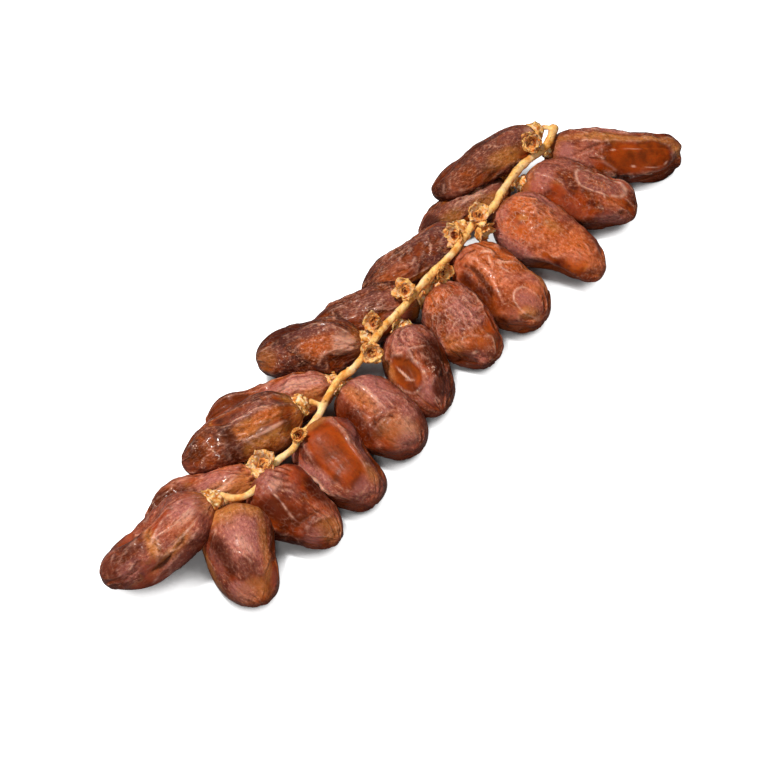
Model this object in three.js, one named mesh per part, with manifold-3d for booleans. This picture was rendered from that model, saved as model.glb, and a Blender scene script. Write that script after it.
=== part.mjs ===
// A bunch of dates: one date-palm strand laid down on a table with its fruit still joined to it.
// Millimetres, +Z up. X runs along the strand towards its cut end, Y to the strand's left, seen from
// above with the cut end ahead. The table is z = 0 and the origin is below the middle of the bunch.
import * as THREE from "three";
import { mergeVertices } from "three/addons/utils/BufferGeometryUtils.js";
import Module from "manifold-3d";

// Driving dimensions, in millimetres and degrees.
const GAP = 0.3; // left between pieces that touch
const STRAND_CUT_RADIUS = 1.7; // at the cut end
const STRAND_TIP_RADIUS = 1.2;
const STRAND_SIDES = 8;
const STRAND_STEPS = 48;
const SPUR_RADIUS = 1.1; // of the short stub that carries a calyx
const SPUR_SIDES = 6;
const DATE_ROUND = 15; // faces round a date: odd, so that one face is underneath
const DATE_RINGS = 10; // rings of them from its base to its tip
const SETTLE = 0.6; // how far a date's soft underside flattens on the table
const CALYX_RADIUS = 4;
const CALYX_RIM = 0.7; // thickness at its edge
const CUP_RADIUS = 4; // at the mouth of an empty cup
const CUP_FOOT_RADIUS = 1.9;
const CUP_DEPTH = 4;
const CUP_WALL = 0.8;
const CAP_ROUND = 10; // faces round a calyx or an empty cup

// The strand's middle line from its cut end to its tip: [x, y, z], with a small kink at each joint.
const STRAND_ROUTE = [
  [121, -0.4, 18],
  [112, -2.3, 17],
  [103, -0.7, 17],
  [95, 0.2, 17],
  [83, -0.6, 17],
  [74.5, -1.7, 17],
  [63, -0.2, 17],
  [48, -1.2, 17],
  [33.5, -0.1, 17],
  [17.5, -0.1, 17],
  [6, 0.8, 17],
  [-4.5, -0.2, 17],
  [-14, -0.5, 17],
  [-20, 1, 17],
  [-29.5, -0.2, 17],
  [-37.5, -2, 17],
  [-46.5, -1.6, 17],
  [-52, -2.4, 17],
  [-58.5, -1, 17],
  [-67, -1.7, 17],
  [-73.5, -1, 17.2],
  [-77, 1.2, 17.4],
  [-78.5, 4, 17.4],
];

// Each date lies on the table, or on its neighbour when it has a lift. base is where its calyx sits,
// from above. heading is the way its tip points, turning left from X. size is [length, width, height].
// taper thins its tip, pitch drops its tip, in degrees, blunt squares its ends, and cap is its calyx's
// thickness.
const USUAL_DATE = { pitch: 5, lift: 0, blunt: 2.5, cap: 3.5 };
const DATES = {
  left_1: { base: [115.3, 5.2], heading: 158, size: [44, 17, 15], taper: 0.3, pitch: 10, lift: 6 },
  left_2: { base: [95.5, 5], heading: 158, size: [37, 16, 11.5], taper: 0.1, pitch: 8 },
  left_3: { base: [62, 4.5], heading: 159, size: [41, 17, 15], taper: 0.25, pitch: 9, lift: 2.5 },
  left_4: { base: [29, 1.8], heading: 142, size: [38, 19, 15], taper: 0.35, pitch: 7 },
  left_5: { base: [-0.3, 5], heading: 127, size: [35, 19, 17], taper: 0.2, pitch: 9, lift: 3 },
  left_6: { base: [-18, 5.5], heading: 143, size: [42, 16, 14], taper: 0.1, pitch: 7 },
  left_7: { base: [-37, 5.8], heading: 150, size: [42, 20, 17], taper: 0.25, pitch: 12, lift: 5 },
  left_8: { base: [-61, 7], heading: 153, size: [39, 16, 13], taper: 0.1, pitch: 7 },
  left_9: { base: [-82.5, 7.7], heading: 159, size: [40, 20, 17], taper: 0.15, pitch: 12, lift: 4.5 },
  right_1: { base: [115.5, -2], heading: -57, size: [49, 20, 17], taper: 0, pitch: 7, cap: 2.5 },
  right_2: { base: [95.5, -3.8], heading: -70, size: [40, 24, 19], taper: 0.25, pitch: 7 },
  right_3: { base: [81, -2.5], heading: -101, size: [45, 24, 20], taper: 0.4, cap: 2 },
  right_4: { base: [54, -2.5], heading: -107, size: [38, 23, 20], taper: -0.15, cap: 2.5 },
  right_5: { base: [35.5, -3], heading: -120, size: [36, 21, 18], taper: 0, pitch: 7 },
  right_6: { base: [13.5, -2.5], heading: -129, size: [35, 21, 18], taper: -0.05, pitch: 7 },
  right_7: { base: [-17.5, -1], heading: -104, size: [34, 23, 19], taper: -0.1, cap: 2 },
  right_8: { base: [-39, -1.5], heading: -110, size: [33, 22, 19], taper: -0.1, cap: 2 },
  right_9: { base: [-64.5, 0], heading: -98, size: [31.5, 20.5, 17], taper: 0.3, cap: 2 },
  right_10: { base: [-80.3, 2.8], heading: -125, size: [34, 22, 18], taper: 0.1, pitch: 7, cap: 2 },
};

// Each empty cup is held by a stub of the strand. foot is the middle of its underside, and heading
// and lift say which way its mouth points.
const CUPS = {
  cup_1: { foot: [106.7, 1.6, 20], heading: -148, lift: 50 },
  cup_2: { foot: [66, -0.6, 19.6], heading: -150, lift: 58 },
  cup_3: { foot: [64, -1.8, 15.8], heading: -100, lift: -10 },
  cup_4: { foot: [56, 1.5, 17.6], heading: 150, lift: 22 },
  cup_5: { foot: [39, -1.8, 16.6], heading: -105, lift: 20 },
  cup_6: { foot: [23.7, 2.2, 18.3], heading: 165, lift: 50 },
  cup_7: { foot: [6.5, 3.5, 18.3], heading: 160, lift: 30 },
  cup_8: { foot: [-5.5, -1.8, 18], heading: -120, lift: 40 },
  cup_9: { foot: [-48, -1.6, 18.8], heading: -110, lift: 60 },
  cup_10: { foot: [-61.5, 1.5, 17.3], heading: 170, lift: 50 },
};

const DATE_FINISH = { color: 0x9c4a2a, roughness: 0.45 };
const CALYX_FINISH = { color: 0xd8964c, roughness: 0.75 };
const STRAND_FINISH = { color: 0xefc987, roughness: 0.6 };

const X_AXIS = new THREE.Vector3(1, 0, 0);
const Y_AXIS = new THREE.Vector3(0, 1, 0);
const Z_AXIS = new THREE.Vector3(0, 0, 1);

const wasm = await Module();
wasm.setup();

/** A named piece of the bunch. */
function piece(name, geometry, look) {
  const mesh = new THREE.Mesh(geometry, new THREE.MeshStandardMaterial({ ...look, metalness: 0 }));
  mesh.name = name;
  return mesh;
}

/** A solid for joining, from a closed geometry. */
function toSolid(geometry) {
  const bare = new THREE.BufferGeometry();
  bare.setAttribute("position", geometry.getAttribute("position"));
  bare.setIndex(geometry.index);
  const merged = mergeVertices(bare, 1e-4);
  const vertProperties = merged.getAttribute("position").array;
  const triVerts = new Uint32Array(merged.index.array);
  return new wasm.Manifold(new wasm.Mesh({ numProp: 3, vertProperties, triVerts }));
}

/** The geometry of a joined solid. */
function toGeometry(solid) {
  const { vertProperties, triVerts } = solid.getMesh();
  const geometry = new THREE.BufferGeometry();
  geometry.setAttribute("position", new THREE.BufferAttribute(vertProperties, 3));
  return geometry.setIndex(new THREE.BufferAttribute(triVerts, 1));
}

/** A round shape turned about X from a profile of [x, radius] points. */
function turned(profile, sides) {
  const points = profile.map(([x, radius]) => new THREE.Vector2(radius, x));
  return new THREE.LatheGeometry(points, sides).rotateZ(-Math.PI / 2);
}

/** Turns an object's X to a heading, then up by a lift, both in degrees. */
function aim(object, heading, lift) {
  object.quaternion.setFromAxisAngle(Z_AXIS, THREE.MathUtils.degToRad(heading));
  object.rotateOnAxis(Y_AXIS, -THREE.MathUtils.degToRad(lift));
}

/** A date along X, from its base at the origin. */
function dateGeometry(date) {
  const [length, width, height] = date.size;
  const profile = [];
  for (let ring = 0; ring <= DATE_RINGS; ring++) {
    const along = (1 - Math.cos((Math.PI * ring) / DATE_RINGS)) / 2;
    const fullness = Math.sqrt(1 - Math.abs(2 * along - 1) ** date.blunt);
    profile.push([along * length, fullness * (1 + date.taper * (0.5 - along))]);
  }
  return turned(profile, DATE_ROUND).scale(1, width / 2, height / 2);
}

/** A calyx on a date's base: a shallow bowl whose inside stays clear of the date's round end. */
function calyxGeometry(date) {
  const [length, width] = date.size;
  const inside = (radius) => {
    const fullness = (2 * radius) / (width * (1 + date.taper / 2));
    return (length * (1 - (1 - fullness ** 2) ** (1 / date.blunt))) / 2 - GAP;
  };
  const middle = CALYX_RADIUS * 0.6;
  const back = inside(0) - date.cap;
  const profile = [
    [back, 0],
    [back, CUP_FOOT_RADIUS * 0.8],
    [back + date.cap * 0.45, CALYX_RADIUS * 0.8],
    [inside(CALYX_RADIUS) - CALYX_RIM, CALYX_RADIUS],
    [inside(CALYX_RADIUS), CALYX_RADIUS],
    [inside(middle), middle],
    [inside(0), 0],
  ];
  return turned(profile, CAP_ROUND);
}

/** An empty cup along X, from its foot at the origin. */
function cupGeometry() {
  const shoulder = CUP_RADIUS * 0.85;
  const profile = [
    [0, 0],
    [0, CUP_FOOT_RADIUS * 0.6],
    [CUP_DEPTH * 0.2, CUP_FOOT_RADIUS],
    [CUP_DEPTH * 0.6, shoulder],
    [CUP_DEPTH, CUP_RADIUS],
    [CUP_DEPTH, CUP_RADIUS - CUP_WALL],
    [CUP_DEPTH * 0.6, shoulder - CUP_WALL],
    [CUP_DEPTH * 0.35, CUP_FOOT_RADIUS * 0.8],
    [CUP_DEPTH * 0.3, 0],
  ];
  return turned(profile, CAP_ROUND);
}

/** A mesh's points where they lie in the bunch. */
function pointsOf(mesh) {
  const places = mesh.geometry.getAttribute("position");
  const points = [];
  for (let i = 0; i < places.count; i++)
    points.push(new THREE.Vector3().fromBufferAttribute(places, i).applyMatrix4(mesh.matrixWorld));
  return points;
}

/** Moves a mesh's points, which stay on it in their order, to where they lie in the bunch. */
function movePoints(mesh, points) {
  const back = mesh.matrixWorld.clone().invert();
  const places = mesh.geometry.getAttribute("position");
  points.forEach((point, i) => places.setXYZ(i, ...point.clone().applyMatrix4(back)));
}

/** Flattens a soft mesh where it would pass a plane, given by its outward normal and distance. */
function flatten(mesh, normal, distance) {
  const points = pointsOf(mesh);
  for (const point of points)
    point.addScaledVector(normal, Math.min(distance - point.dot(normal), 0));
  movePoints(mesh, points);
}

const DIRECTIONS = [];
for (let heading = 0; heading < 360; heading += 6)
  for (const lift of [-60, -30, 0, 30, 60]) {
    const way = new THREE.Object3D();
    aim(way, heading, lift);
    DIRECTIONS.push(X_AXIS.clone().applyQuaternion(way.quaternion));
  }

/** Flattens a date, and its neighbour too if that is soft, along the way they overlap least. */
function pressTogether(date, neighbour, neighbourIsSoft) {
  const dateBall = ballOf(date);
  const otherBall = ballOf(neighbour);
  if (dateBall.center.distanceTo(otherBall.center) > dateBall.radius + otherBall.radius) return;
  const datePoints = pointsOf(date);
  const otherPoints = pointsOf(neighbour);
  let least = { overlap: Infinity };
  for (const normal of DIRECTIONS) {
    const far = Math.max(...datePoints.map((point) => point.dot(normal)));
    const near = Math.min(...otherPoints.map((point) => point.dot(normal)));
    if (far - near < least.overlap) least = { overlap: far - near, normal, far, near };
  }
  if (least.overlap < -GAP) return;
  const middle = neighbourIsSoft ? (least.far + least.near) / 2 : least.near - GAP / 2;
  flatten(date, least.normal, middle - GAP / 2);
  if (neighbourIsSoft) flatten(neighbour, least.normal.clone().negate(), -middle - GAP / 2);
}

/** The ball round a mesh where it lies in the bunch. */
function ballOf(mesh) {
  return new THREE.Sphere().setFromPoints(pointsOf(mesh));
}

/** A placed mesh's solid, grown on every side by the gap that touching pieces keep. */
function grown(mesh) {
  const geometry = mesh.geometry.clone().applyMatrix4(mesh.matrixWorld);
  for (const name of ["normal", "uv"]) geometry.deleteAttribute(name);
  const merged = mergeVertices(geometry, 1e-4);
  merged.computeVertexNormals();
  const places = merged.getAttribute("position");
  const normals = merged.getAttribute("normal");
  for (let i = 0; i < places.count; i++) {
    const out = new THREE.Vector3().fromBufferAttribute(normals, i).multiplyScalar(GAP * 1.2);
    places.setXYZ(i, ...out.add(new THREE.Vector3().fromBufferAttribute(places, i)));
  }
  return toSolid(merged);
}

/** The strand: a thin tube along its route, with a stub out to each calyx and cup. */
function strandGeometry(route, stubEnds, neighbours) {
  const outline = new THREE.EllipseCurve(0, 0, 1, 1).getPoints(STRAND_SIDES).slice(0, -1);
  const tube = new THREE.ExtrudeGeometry(new THREE.Shape(outline), {
    steps: STRAND_STEPS,
    extrudePath: route,
  });
  const samples = route.getSpacedPoints(STRAND_STEPS * 4);
  const nearest = (point) =>
    samples.reduce((best, p) => (p.distanceTo(point) < best.distanceTo(point) ? p : best));
  const places = tube.getAttribute("position");
  const point = new THREE.Vector3();
  for (let i = 0; i < places.count; i++) {
    point.fromBufferAttribute(places, i);
    const middle = nearest(point);
    const along = samples.indexOf(middle) / (samples.length - 1);
    const radius = THREE.MathUtils.lerp(STRAND_CUT_RADIUS, STRAND_TIP_RADIUS, along);
    point.sub(middle).multiplyScalar(radius).add(middle);
    places.setXYZ(i, ...point);
  }
  let strand = toSolid(tube);
  for (const end of stubEnds) {
    const start = nearest(end);
    const way = end.clone().sub(start);
    const length = way.length();
    if (length < STRAND_CUT_RADIUS) continue;
    const stub = new THREE.CylinderGeometry(SPUR_RADIUS, SPUR_RADIUS * 1.3, length, SPUR_SIDES);
    stub.translate(0, length / 2, 0);
    stub.applyQuaternion(new THREE.Quaternion().setFromUnitVectors(Y_AXIS, way.normalize()));
    stub.translate(...start);
    strand = strand.add(toSolid(stub));
  }
  for (const mesh of neighbours) strand = strand.subtract(grown(mesh));
  const bodies = strand.decompose().sort((a, b) => b.volume() - a.volume());
  return toGeometry(bodies[0]);
}

const bunch = new THREE.Group();
const dates = [];
const calyxes = [];
const cups = [];
const stubEnds = [];

for (const [name, given] of Object.entries(DATES)) {
  const date = { ...USUAL_DATE, ...given };
  const [length, , height] = date.size;
  const drop = (length / 2) * Math.sin(THREE.MathUtils.degToRad(date.pitch));
  const place = new THREE.Group();
  place.position.set(...date.base, height / 2 - SETTLE + date.lift + drop);
  aim(place, date.heading, -date.pitch);
  bunch.add(place);
  const body = piece(`date_${name}`, dateGeometry(date), DATE_FINISH);
  const calyx = piece(`calyx_${name}`, calyxGeometry(date), CALYX_FINISH);
  place.add(body, calyx);
  place.updateMatrixWorld(true);
  dates.push(body);
  calyxes.push(calyx);
  stubEnds.push(place.localToWorld(new THREE.Vector3(-GAP - date.cap, 0, 0)));
}

for (const [name, { foot, heading, lift }] of Object.entries(CUPS)) {
  const cup = piece(name, cupGeometry(), CALYX_FINISH);
  cup.position.set(...foot);
  aim(cup, heading, lift);
  bunch.add(cup);
  cup.updateMatrixWorld(true);
  cups.push(cup);
  stubEnds.push(cup.position);
}

dates.forEach((date, i) => {
  for (const other of dates.slice(i + 1)) pressTogether(date, other, true);
});
dates.forEach((date, i) => {
  for (const cap of [...calyxes, ...cups]) if (cap !== calyxes[i]) pressTogether(date, cap, false);
  flatten(date, Z_AXIS.clone().negate(), 0);
});

const route = new THREE.CatmullRomCurve3(STRAND_ROUTE.map((at) => new THREE.Vector3(...at)));
bunch.add(piece("strand", strandGeometry(route, stubEnds, [...dates, ...calyxes, ...cups]), STRAND_FINISH));

const box = new THREE.Box3().setFromObject(bunch, true);
bunch.position.set(-(box.min.x + box.max.x) / 2, -(box.min.y + box.max.y) / 2, -box.min.z);

export default bunch;
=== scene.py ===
"""A bunch of dates lying on a pale table: wrinkled fruit, papery caps and one pale stem.

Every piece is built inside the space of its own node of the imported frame. Lengths in the dataclasses
are millimetres unless they say otherwise, and angles are degrees.
"""

import logging
import math
from dataclasses import dataclass
from enum import Enum
from functools import partial

import bpy
import numpy as np
from mathutils import Matrix, Vector
from mathutils.bvhtree import BVHTree


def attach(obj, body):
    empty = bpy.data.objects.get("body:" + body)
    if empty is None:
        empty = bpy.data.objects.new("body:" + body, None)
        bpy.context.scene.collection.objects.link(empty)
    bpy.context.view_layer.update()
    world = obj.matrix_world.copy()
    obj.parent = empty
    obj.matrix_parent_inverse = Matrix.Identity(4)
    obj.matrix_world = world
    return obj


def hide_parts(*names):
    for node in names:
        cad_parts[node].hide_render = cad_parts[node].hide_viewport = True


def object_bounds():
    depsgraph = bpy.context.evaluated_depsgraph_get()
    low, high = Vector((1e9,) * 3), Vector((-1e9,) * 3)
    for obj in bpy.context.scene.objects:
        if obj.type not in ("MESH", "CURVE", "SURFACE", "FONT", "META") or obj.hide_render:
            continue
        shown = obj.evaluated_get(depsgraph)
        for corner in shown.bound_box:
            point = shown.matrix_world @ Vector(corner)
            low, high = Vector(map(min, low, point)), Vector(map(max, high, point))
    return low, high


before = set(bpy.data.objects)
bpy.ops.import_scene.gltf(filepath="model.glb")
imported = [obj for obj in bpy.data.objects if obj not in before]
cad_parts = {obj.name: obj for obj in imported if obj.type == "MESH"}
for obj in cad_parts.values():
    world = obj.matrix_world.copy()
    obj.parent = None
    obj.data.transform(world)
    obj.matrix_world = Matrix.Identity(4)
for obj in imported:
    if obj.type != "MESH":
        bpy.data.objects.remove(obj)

Array = np.ndarray
Colour = tuple[float, float, float]
Profile = list[tuple[float, float]]
Shade = tuple[int, int, int]
Material = bpy.types.Material
Mesh = bpy.types.Mesh
Socket = bpy.types.NodeSocket
Thing = bpy.types.Object
Tree = bpy.types.NodeTree

CAD_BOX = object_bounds()
BODY = "root"
MM = 0.001
UP = np.array([0.0, 0.0, 1.0])
LOG = logging.getLogger("dates")

HASH_PRIMES = (73856093, 19349663, 83492791)
HASH_SEED = 2654435761
HASH_STEPS = ((15, 2246822519), (13, 3266489917))
LOW_32, LOW_24 = 0xFFFFFFFF, 0xFFFFFF
NOISE_GAIN = 1.6

# Numbers


def linear(red: int, green: int, blue: int) -> Colour:
    """A colour in 0..255 screen values as linear light."""
    return tuple(
        v / 12.92 if v <= 0.04045 else ((v + 0.055) / 1.055) ** 2.4
        for v in (red / 255, green / 255, blue / 255)
    )


def smooth_step(low: float, high: float, value: Array) -> Array:
    """0 below low, 1 above high, and a soft rise between; reversed where low is above high."""
    share = np.clip((value - low) / (high - low), 0.0, 1.0)
    return share * share * (3 - 2 * share)


def bell(value: Array, width: float) -> Array:
    """A soft bump of height 1 round zero."""
    return np.exp(-((value / width) ** 2))


def cell_values(cells: Array, seed: int) -> Array:
    """Seeded random values in 0..1, one for each row of three whole numbers."""
    x, y, z = (cells[..., k] * HASH_PRIMES[k] for k in range(3))
    mixed = (x ^ y ^ z ^ (seed * HASH_SEED & LOW_32)) & LOW_32
    for shift, factor in HASH_STEPS:
        mixed = ((mixed ^ (mixed >> shift)) * factor) & LOW_32
    return ((mixed ^ (mixed >> 16)) & LOW_24) / float(LOW_24)


def noise(points: Array, seed: int) -> Array:
    """Smooth random values, about -1 to 1, with features one unit wide, one for each point."""
    cells = np.floor(points).astype(np.int64)
    part = points - cells
    fade = part * part * part * (part * (part * 6 - 15) + 10)
    total = np.zeros(len(points))
    for corner in np.ndindex(2, 2, 2):
        step = np.array(corner)
        share = np.prod(np.where(step == 1, fade, 1 - fade), axis=1)
        away = part - step
        slopes = [cell_values(cells + step, seed * 3 + k) * 2 - 1 for k in range(3)]
        total += share * sum(slopes[k] * away[:, k] for k in range(3))
    return total * NOISE_GAIN


def layered(points: Array, seed: int, layers: int = 3) -> Array:
    """Noise with finer layers added, each half as strong as the one before."""
    return sum(noise(points * 2.03**k, seed + 17 * k) * 0.5**k for k in range(layers))


def cell_edges(points: Array, seed: int) -> Array:
    """How far each place is from the border between its random cell and the next.

    Args:
        points: Places as rows of three numbers, in cell widths.
        seed: The seed.

    Returns:
        0 on a border, and about 0.7 in the middle of a cell.
    """
    cells = np.floor(points).astype(np.int64)
    nearest = np.full((2, len(points)), np.inf)
    for corner in np.ndindex(3, 3, 3):
        cell = cells + np.array(corner) - 1
        centre = cell + np.stack([cell_values(cell, seed * 3 + k) for k in range(3)], axis=1)
        distance = np.linalg.norm(points - centre, axis=1)
        nearest[1] = np.minimum(nearest[1], np.maximum(nearest[0], distance))
        nearest[0] = np.minimum(nearest[0], distance)
    return nearest[1] - nearest[0]


# Meshes


def get_points(mesh: Mesh) -> Array:
    """A mesh's points."""
    points = np.empty(len(mesh.vertices) * 3)
    mesh.vertices.foreach_get("co", points)
    return points.reshape(-1, 3)


def set_points(mesh: Mesh, points: Array) -> None:
    """Moves a mesh's points."""
    mesh.vertices.foreach_set("co", points.ravel())
    mesh.update()


def set_mask(mesh: Mesh, name: str, values: Array) -> None:
    """Stores a value in 0..1 at each point under a name that materials read."""
    layer = mesh.attributes.new(name, "FLOAT", "POINT")
    layer.data.foreach_set("value", np.clip(values, 0.0, 1.0).astype(np.float32))


def node_points(node: str) -> Array:
    """A frame node's corner points, each once, in metres."""
    return np.unique(np.round(get_points(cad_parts[node].data), 6), axis=0)


def node_surface(node: str) -> BVHTree:
    """A frame node's surface, for casting rays at."""
    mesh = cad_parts[node].data
    points = [vertex.co.copy() for vertex in mesh.vertices]
    return BVHTree.FromPolygons(points, [tuple(face.vertices) for face in mesh.polygons])


def add_object(name: str, data: bpy.types.ID) -> Thing:
    """A new object in the scene."""
    thing = bpy.data.objects.new(name, data)
    bpy.context.scene.collection.objects.link(thing)
    return thing


def mesh_object(name: str, points: Array, faces: list[tuple[int, ...]]) -> Thing:
    """A smooth mesh object at the origin, from points in metres and faces turned outwards."""
    mesh = bpy.data.meshes.new(name)
    mesh.from_pydata(points.tolist(), [], faces)
    mesh.shade_smooth()
    return add_object(name, mesh)


def grid_faces(rows: int, columns: int) -> list[tuple[int, ...]]:
    """Faces of a tube of rings of points; the two points that close its ends follow the rings."""
    faces = []
    for low in range(0, (rows - 1) * columns, columns):
        for column in range(columns):
            right, high = (column + 1) % columns, low + columns
            faces.append((low + column, low + right, high + right, high + column))
    first, last = rows * columns, rows * columns + 1
    end = (rows - 1) * columns
    for column in range(columns):
        right = (column + 1) % columns
        faces += [(first, right, column), (last, end + column, end + right)]
    return faces


def finish_piece(piece: Thing, node: str, material: Material) -> None:
    """Dresses a finished piece and puts it in place of its frame node."""
    piece.data.materials.clear()
    piece.data.materials.append(material)
    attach(piece, BODY)
    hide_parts(node)
    LOG.info("%s: %d faces", piece.name, len(piece.data.polygons))


# Node making


class Wiring:
    """A node tree being built, with one short call for each kind of step."""

    def __init__(self, tree: Tree) -> None:
        """Starts on an empty tree."""
        self.tree = tree
        tree.nodes.clear()

    def node(self, kind: str, links: dict | None = None, **settings: object) -> bpy.types.Node:
        """Adds a node, with values or sockets for its inputs, and its own settings."""
        node = self.tree.nodes.new(kind)
        for key, value in settings.items():
            setattr(node, key, value)
        for key, value in (links or {}).items():
            self.feed(node.inputs[key], value)
        return node

    def out(self, kind: str, links: dict | None = None, **settings: object) -> Socket:
        """Adds a node and gives its first output."""
        return self.node(kind, links, **settings).outputs[0]

    def feed(self, socket: Socket, value: object) -> None:
        """Gives a socket a value, or a link where the value is another socket."""
        if isinstance(value, bpy.types.NodeSocket):
            self.tree.links.new(value, socket)
        elif isinstance(value, tuple) and len(value) == 3 and socket.type == "RGBA":
            socket.default_value = (*value, 1.0)
        else:
            socket.default_value = value

    def math(self, operation: str, a: object, b: object) -> Socket:
        """One sum of two numbers."""
        return self.out("ShaderNodeMath", {0: a, 1: b}, operation=operation)

    def times(self, a: object, b: object) -> Socket:
        """Two numbers multiplied."""
        return self.math("MULTIPLY", a, b)

    def plus(self, a: object, b: object) -> Socket:
        """Two numbers added."""
        return self.math("ADD", a, b)

    def mix(self, share: object, a: object, b: object) -> Socket:
        """Mixes two colours by a share; each is a socket or a colour in screen values."""
        node = self.node("ShaderNodeMix", data_type="RGBA")
        for place, value in ((0, share), (6, a), (7, b)):
            self.feed(node.inputs[place], linear(*value) if isinstance(value, tuple) else value)
        return node.outputs[2]

    def blend(self, share: object, a: object, b: object) -> Socket:
        """Mixes two numbers by a share."""
        return self.out("ShaderNodeMix", {0: share, 2: a, 3: b}, data_type="FLOAT")

    def span(
        self, value: object, low: float, high: float, to_low: float = 0.0, to_high: float = 1.0
    ) -> Socket:
        """Maps a range of a value softly onto another range, and clamps it."""
        links = {0: value, 1: low, 2: high, 3: to_low, 4: to_high}
        return self.out("ShaderNodeMapRange", links, interpolation_type="SMOOTHSTEP")

    def grain(self, places: object, scale: float, detail: float = 3.0, rough: float = 0.55) -> Socket:
        """Noise over places, at a scale in features a unit."""
        links = {"Vector": places, "Scale": scale, "Detail": detail, "Roughness": rough}
        return self.node("ShaderNodeTexNoise", links).outputs["Fac"]

    def mask(self, name: str) -> Socket:
        """A value stored at the mesh's points."""
        return self.node("ShaderNodeAttribute", attribute_name=name).outputs["Fac"]

    def limb(self, blend: float, low: float, high: float, share: float) -> Socket:
        """A share that grows where the surface turns away from the viewer."""
        facing = self.node("ShaderNodeLayerWeight", {"Blend": blend}).outputs["Facing"]
        return self.span(facing, low, high, 0.0, share)

    def bump(self, strength: float, depth: float, height: Socket) -> Socket:
        """A bumped normal; the depth is in millimetres."""
        links = {"Strength": strength, "Distance": depth * MM, "Height": height}
        return self.out("ShaderNodeBump", links)

    def random_vector(self, low: tuple, high: tuple, seed: object) -> Socket:
        """A random vector at each point."""
        node = self.node("FunctionNodeRandomValue", data_type="FLOAT_VECTOR")
        for socket, value in ((0, low), (1, high), ("Seed", seed)):
            self.feed(node.inputs[socket], value)
        return node.outputs[0]

    def dressed(self, shape: Socket, material: Socket) -> None:
        """Ends a geometry tree: smooth shading, the material, and the output."""
        smooth = self.out("GeometryNodeSetShadeSmooth", {"Geometry": shape})
        links = {"Geometry": smooth, "Material": material}
        self.node("NodeGroupOutput", {"Geometry": self.out("GeometryNodeSetMaterial", links)})


def new_group(name: str, kind: str, inputs: dict[str, str], outputs: dict[str, str]) -> Tree:
    """A node group without nodes, from its sockets' names and the ends of their types."""
    group = bpy.data.node_groups.new(name, kind)
    for sockets, way in ((inputs, "INPUT"), (outputs, "OUTPUT")):
        for socket, sort in sockets.items():
            group.interface.new_socket(socket, in_out=way, socket_type=f"NodeSocket{sort}")
    return group


def new_material(name: str) -> tuple[Material, Wiring]:
    """A new material and the wiring of its tree."""
    material = bpy.data.materials.new(name)
    material.use_nodes = True
    return material, Wiring(material.node_tree)


# Finishes


@dataclass(frozen=True)
class SkinTone:
    """The colours of one kind of date skin, as screen values."""

    name: str
    lifted: Shade
    lifted_dark: Shade
    stuck: Shade
    stuck_dark: Shade
    ochre: Shade = (198, 122, 58)
    # The mauve of powdery skin, which also serves as painted sheen on the upper side.
    bloom: Shade = (170, 100, 90)


class Tone(Enum):
    """The tones that the dates of a bunch have."""

    ROSE = SkinTone("rose", (158, 78, 52), (92, 29, 10), (150, 54, 9), (66, 13, 2))
    SALMON = SkinTone("salmon", (206, 108, 64), (142, 58, 22), (184, 78, 15), (96, 26, 4))
    BROWN = SkinTone(
        "brown", (116, 54, 32), (56, 19, 7), (120, 45, 8), (44, 10, 2), (202, 128, 54), (126, 70, 58)
    )
    PLUM = SkinTone(
        "plum", (98, 45, 32), (44, 13, 7), (96, 31, 7), (34, 6, 2), (178, 102, 38), (114, 62, 56)
    )


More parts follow.
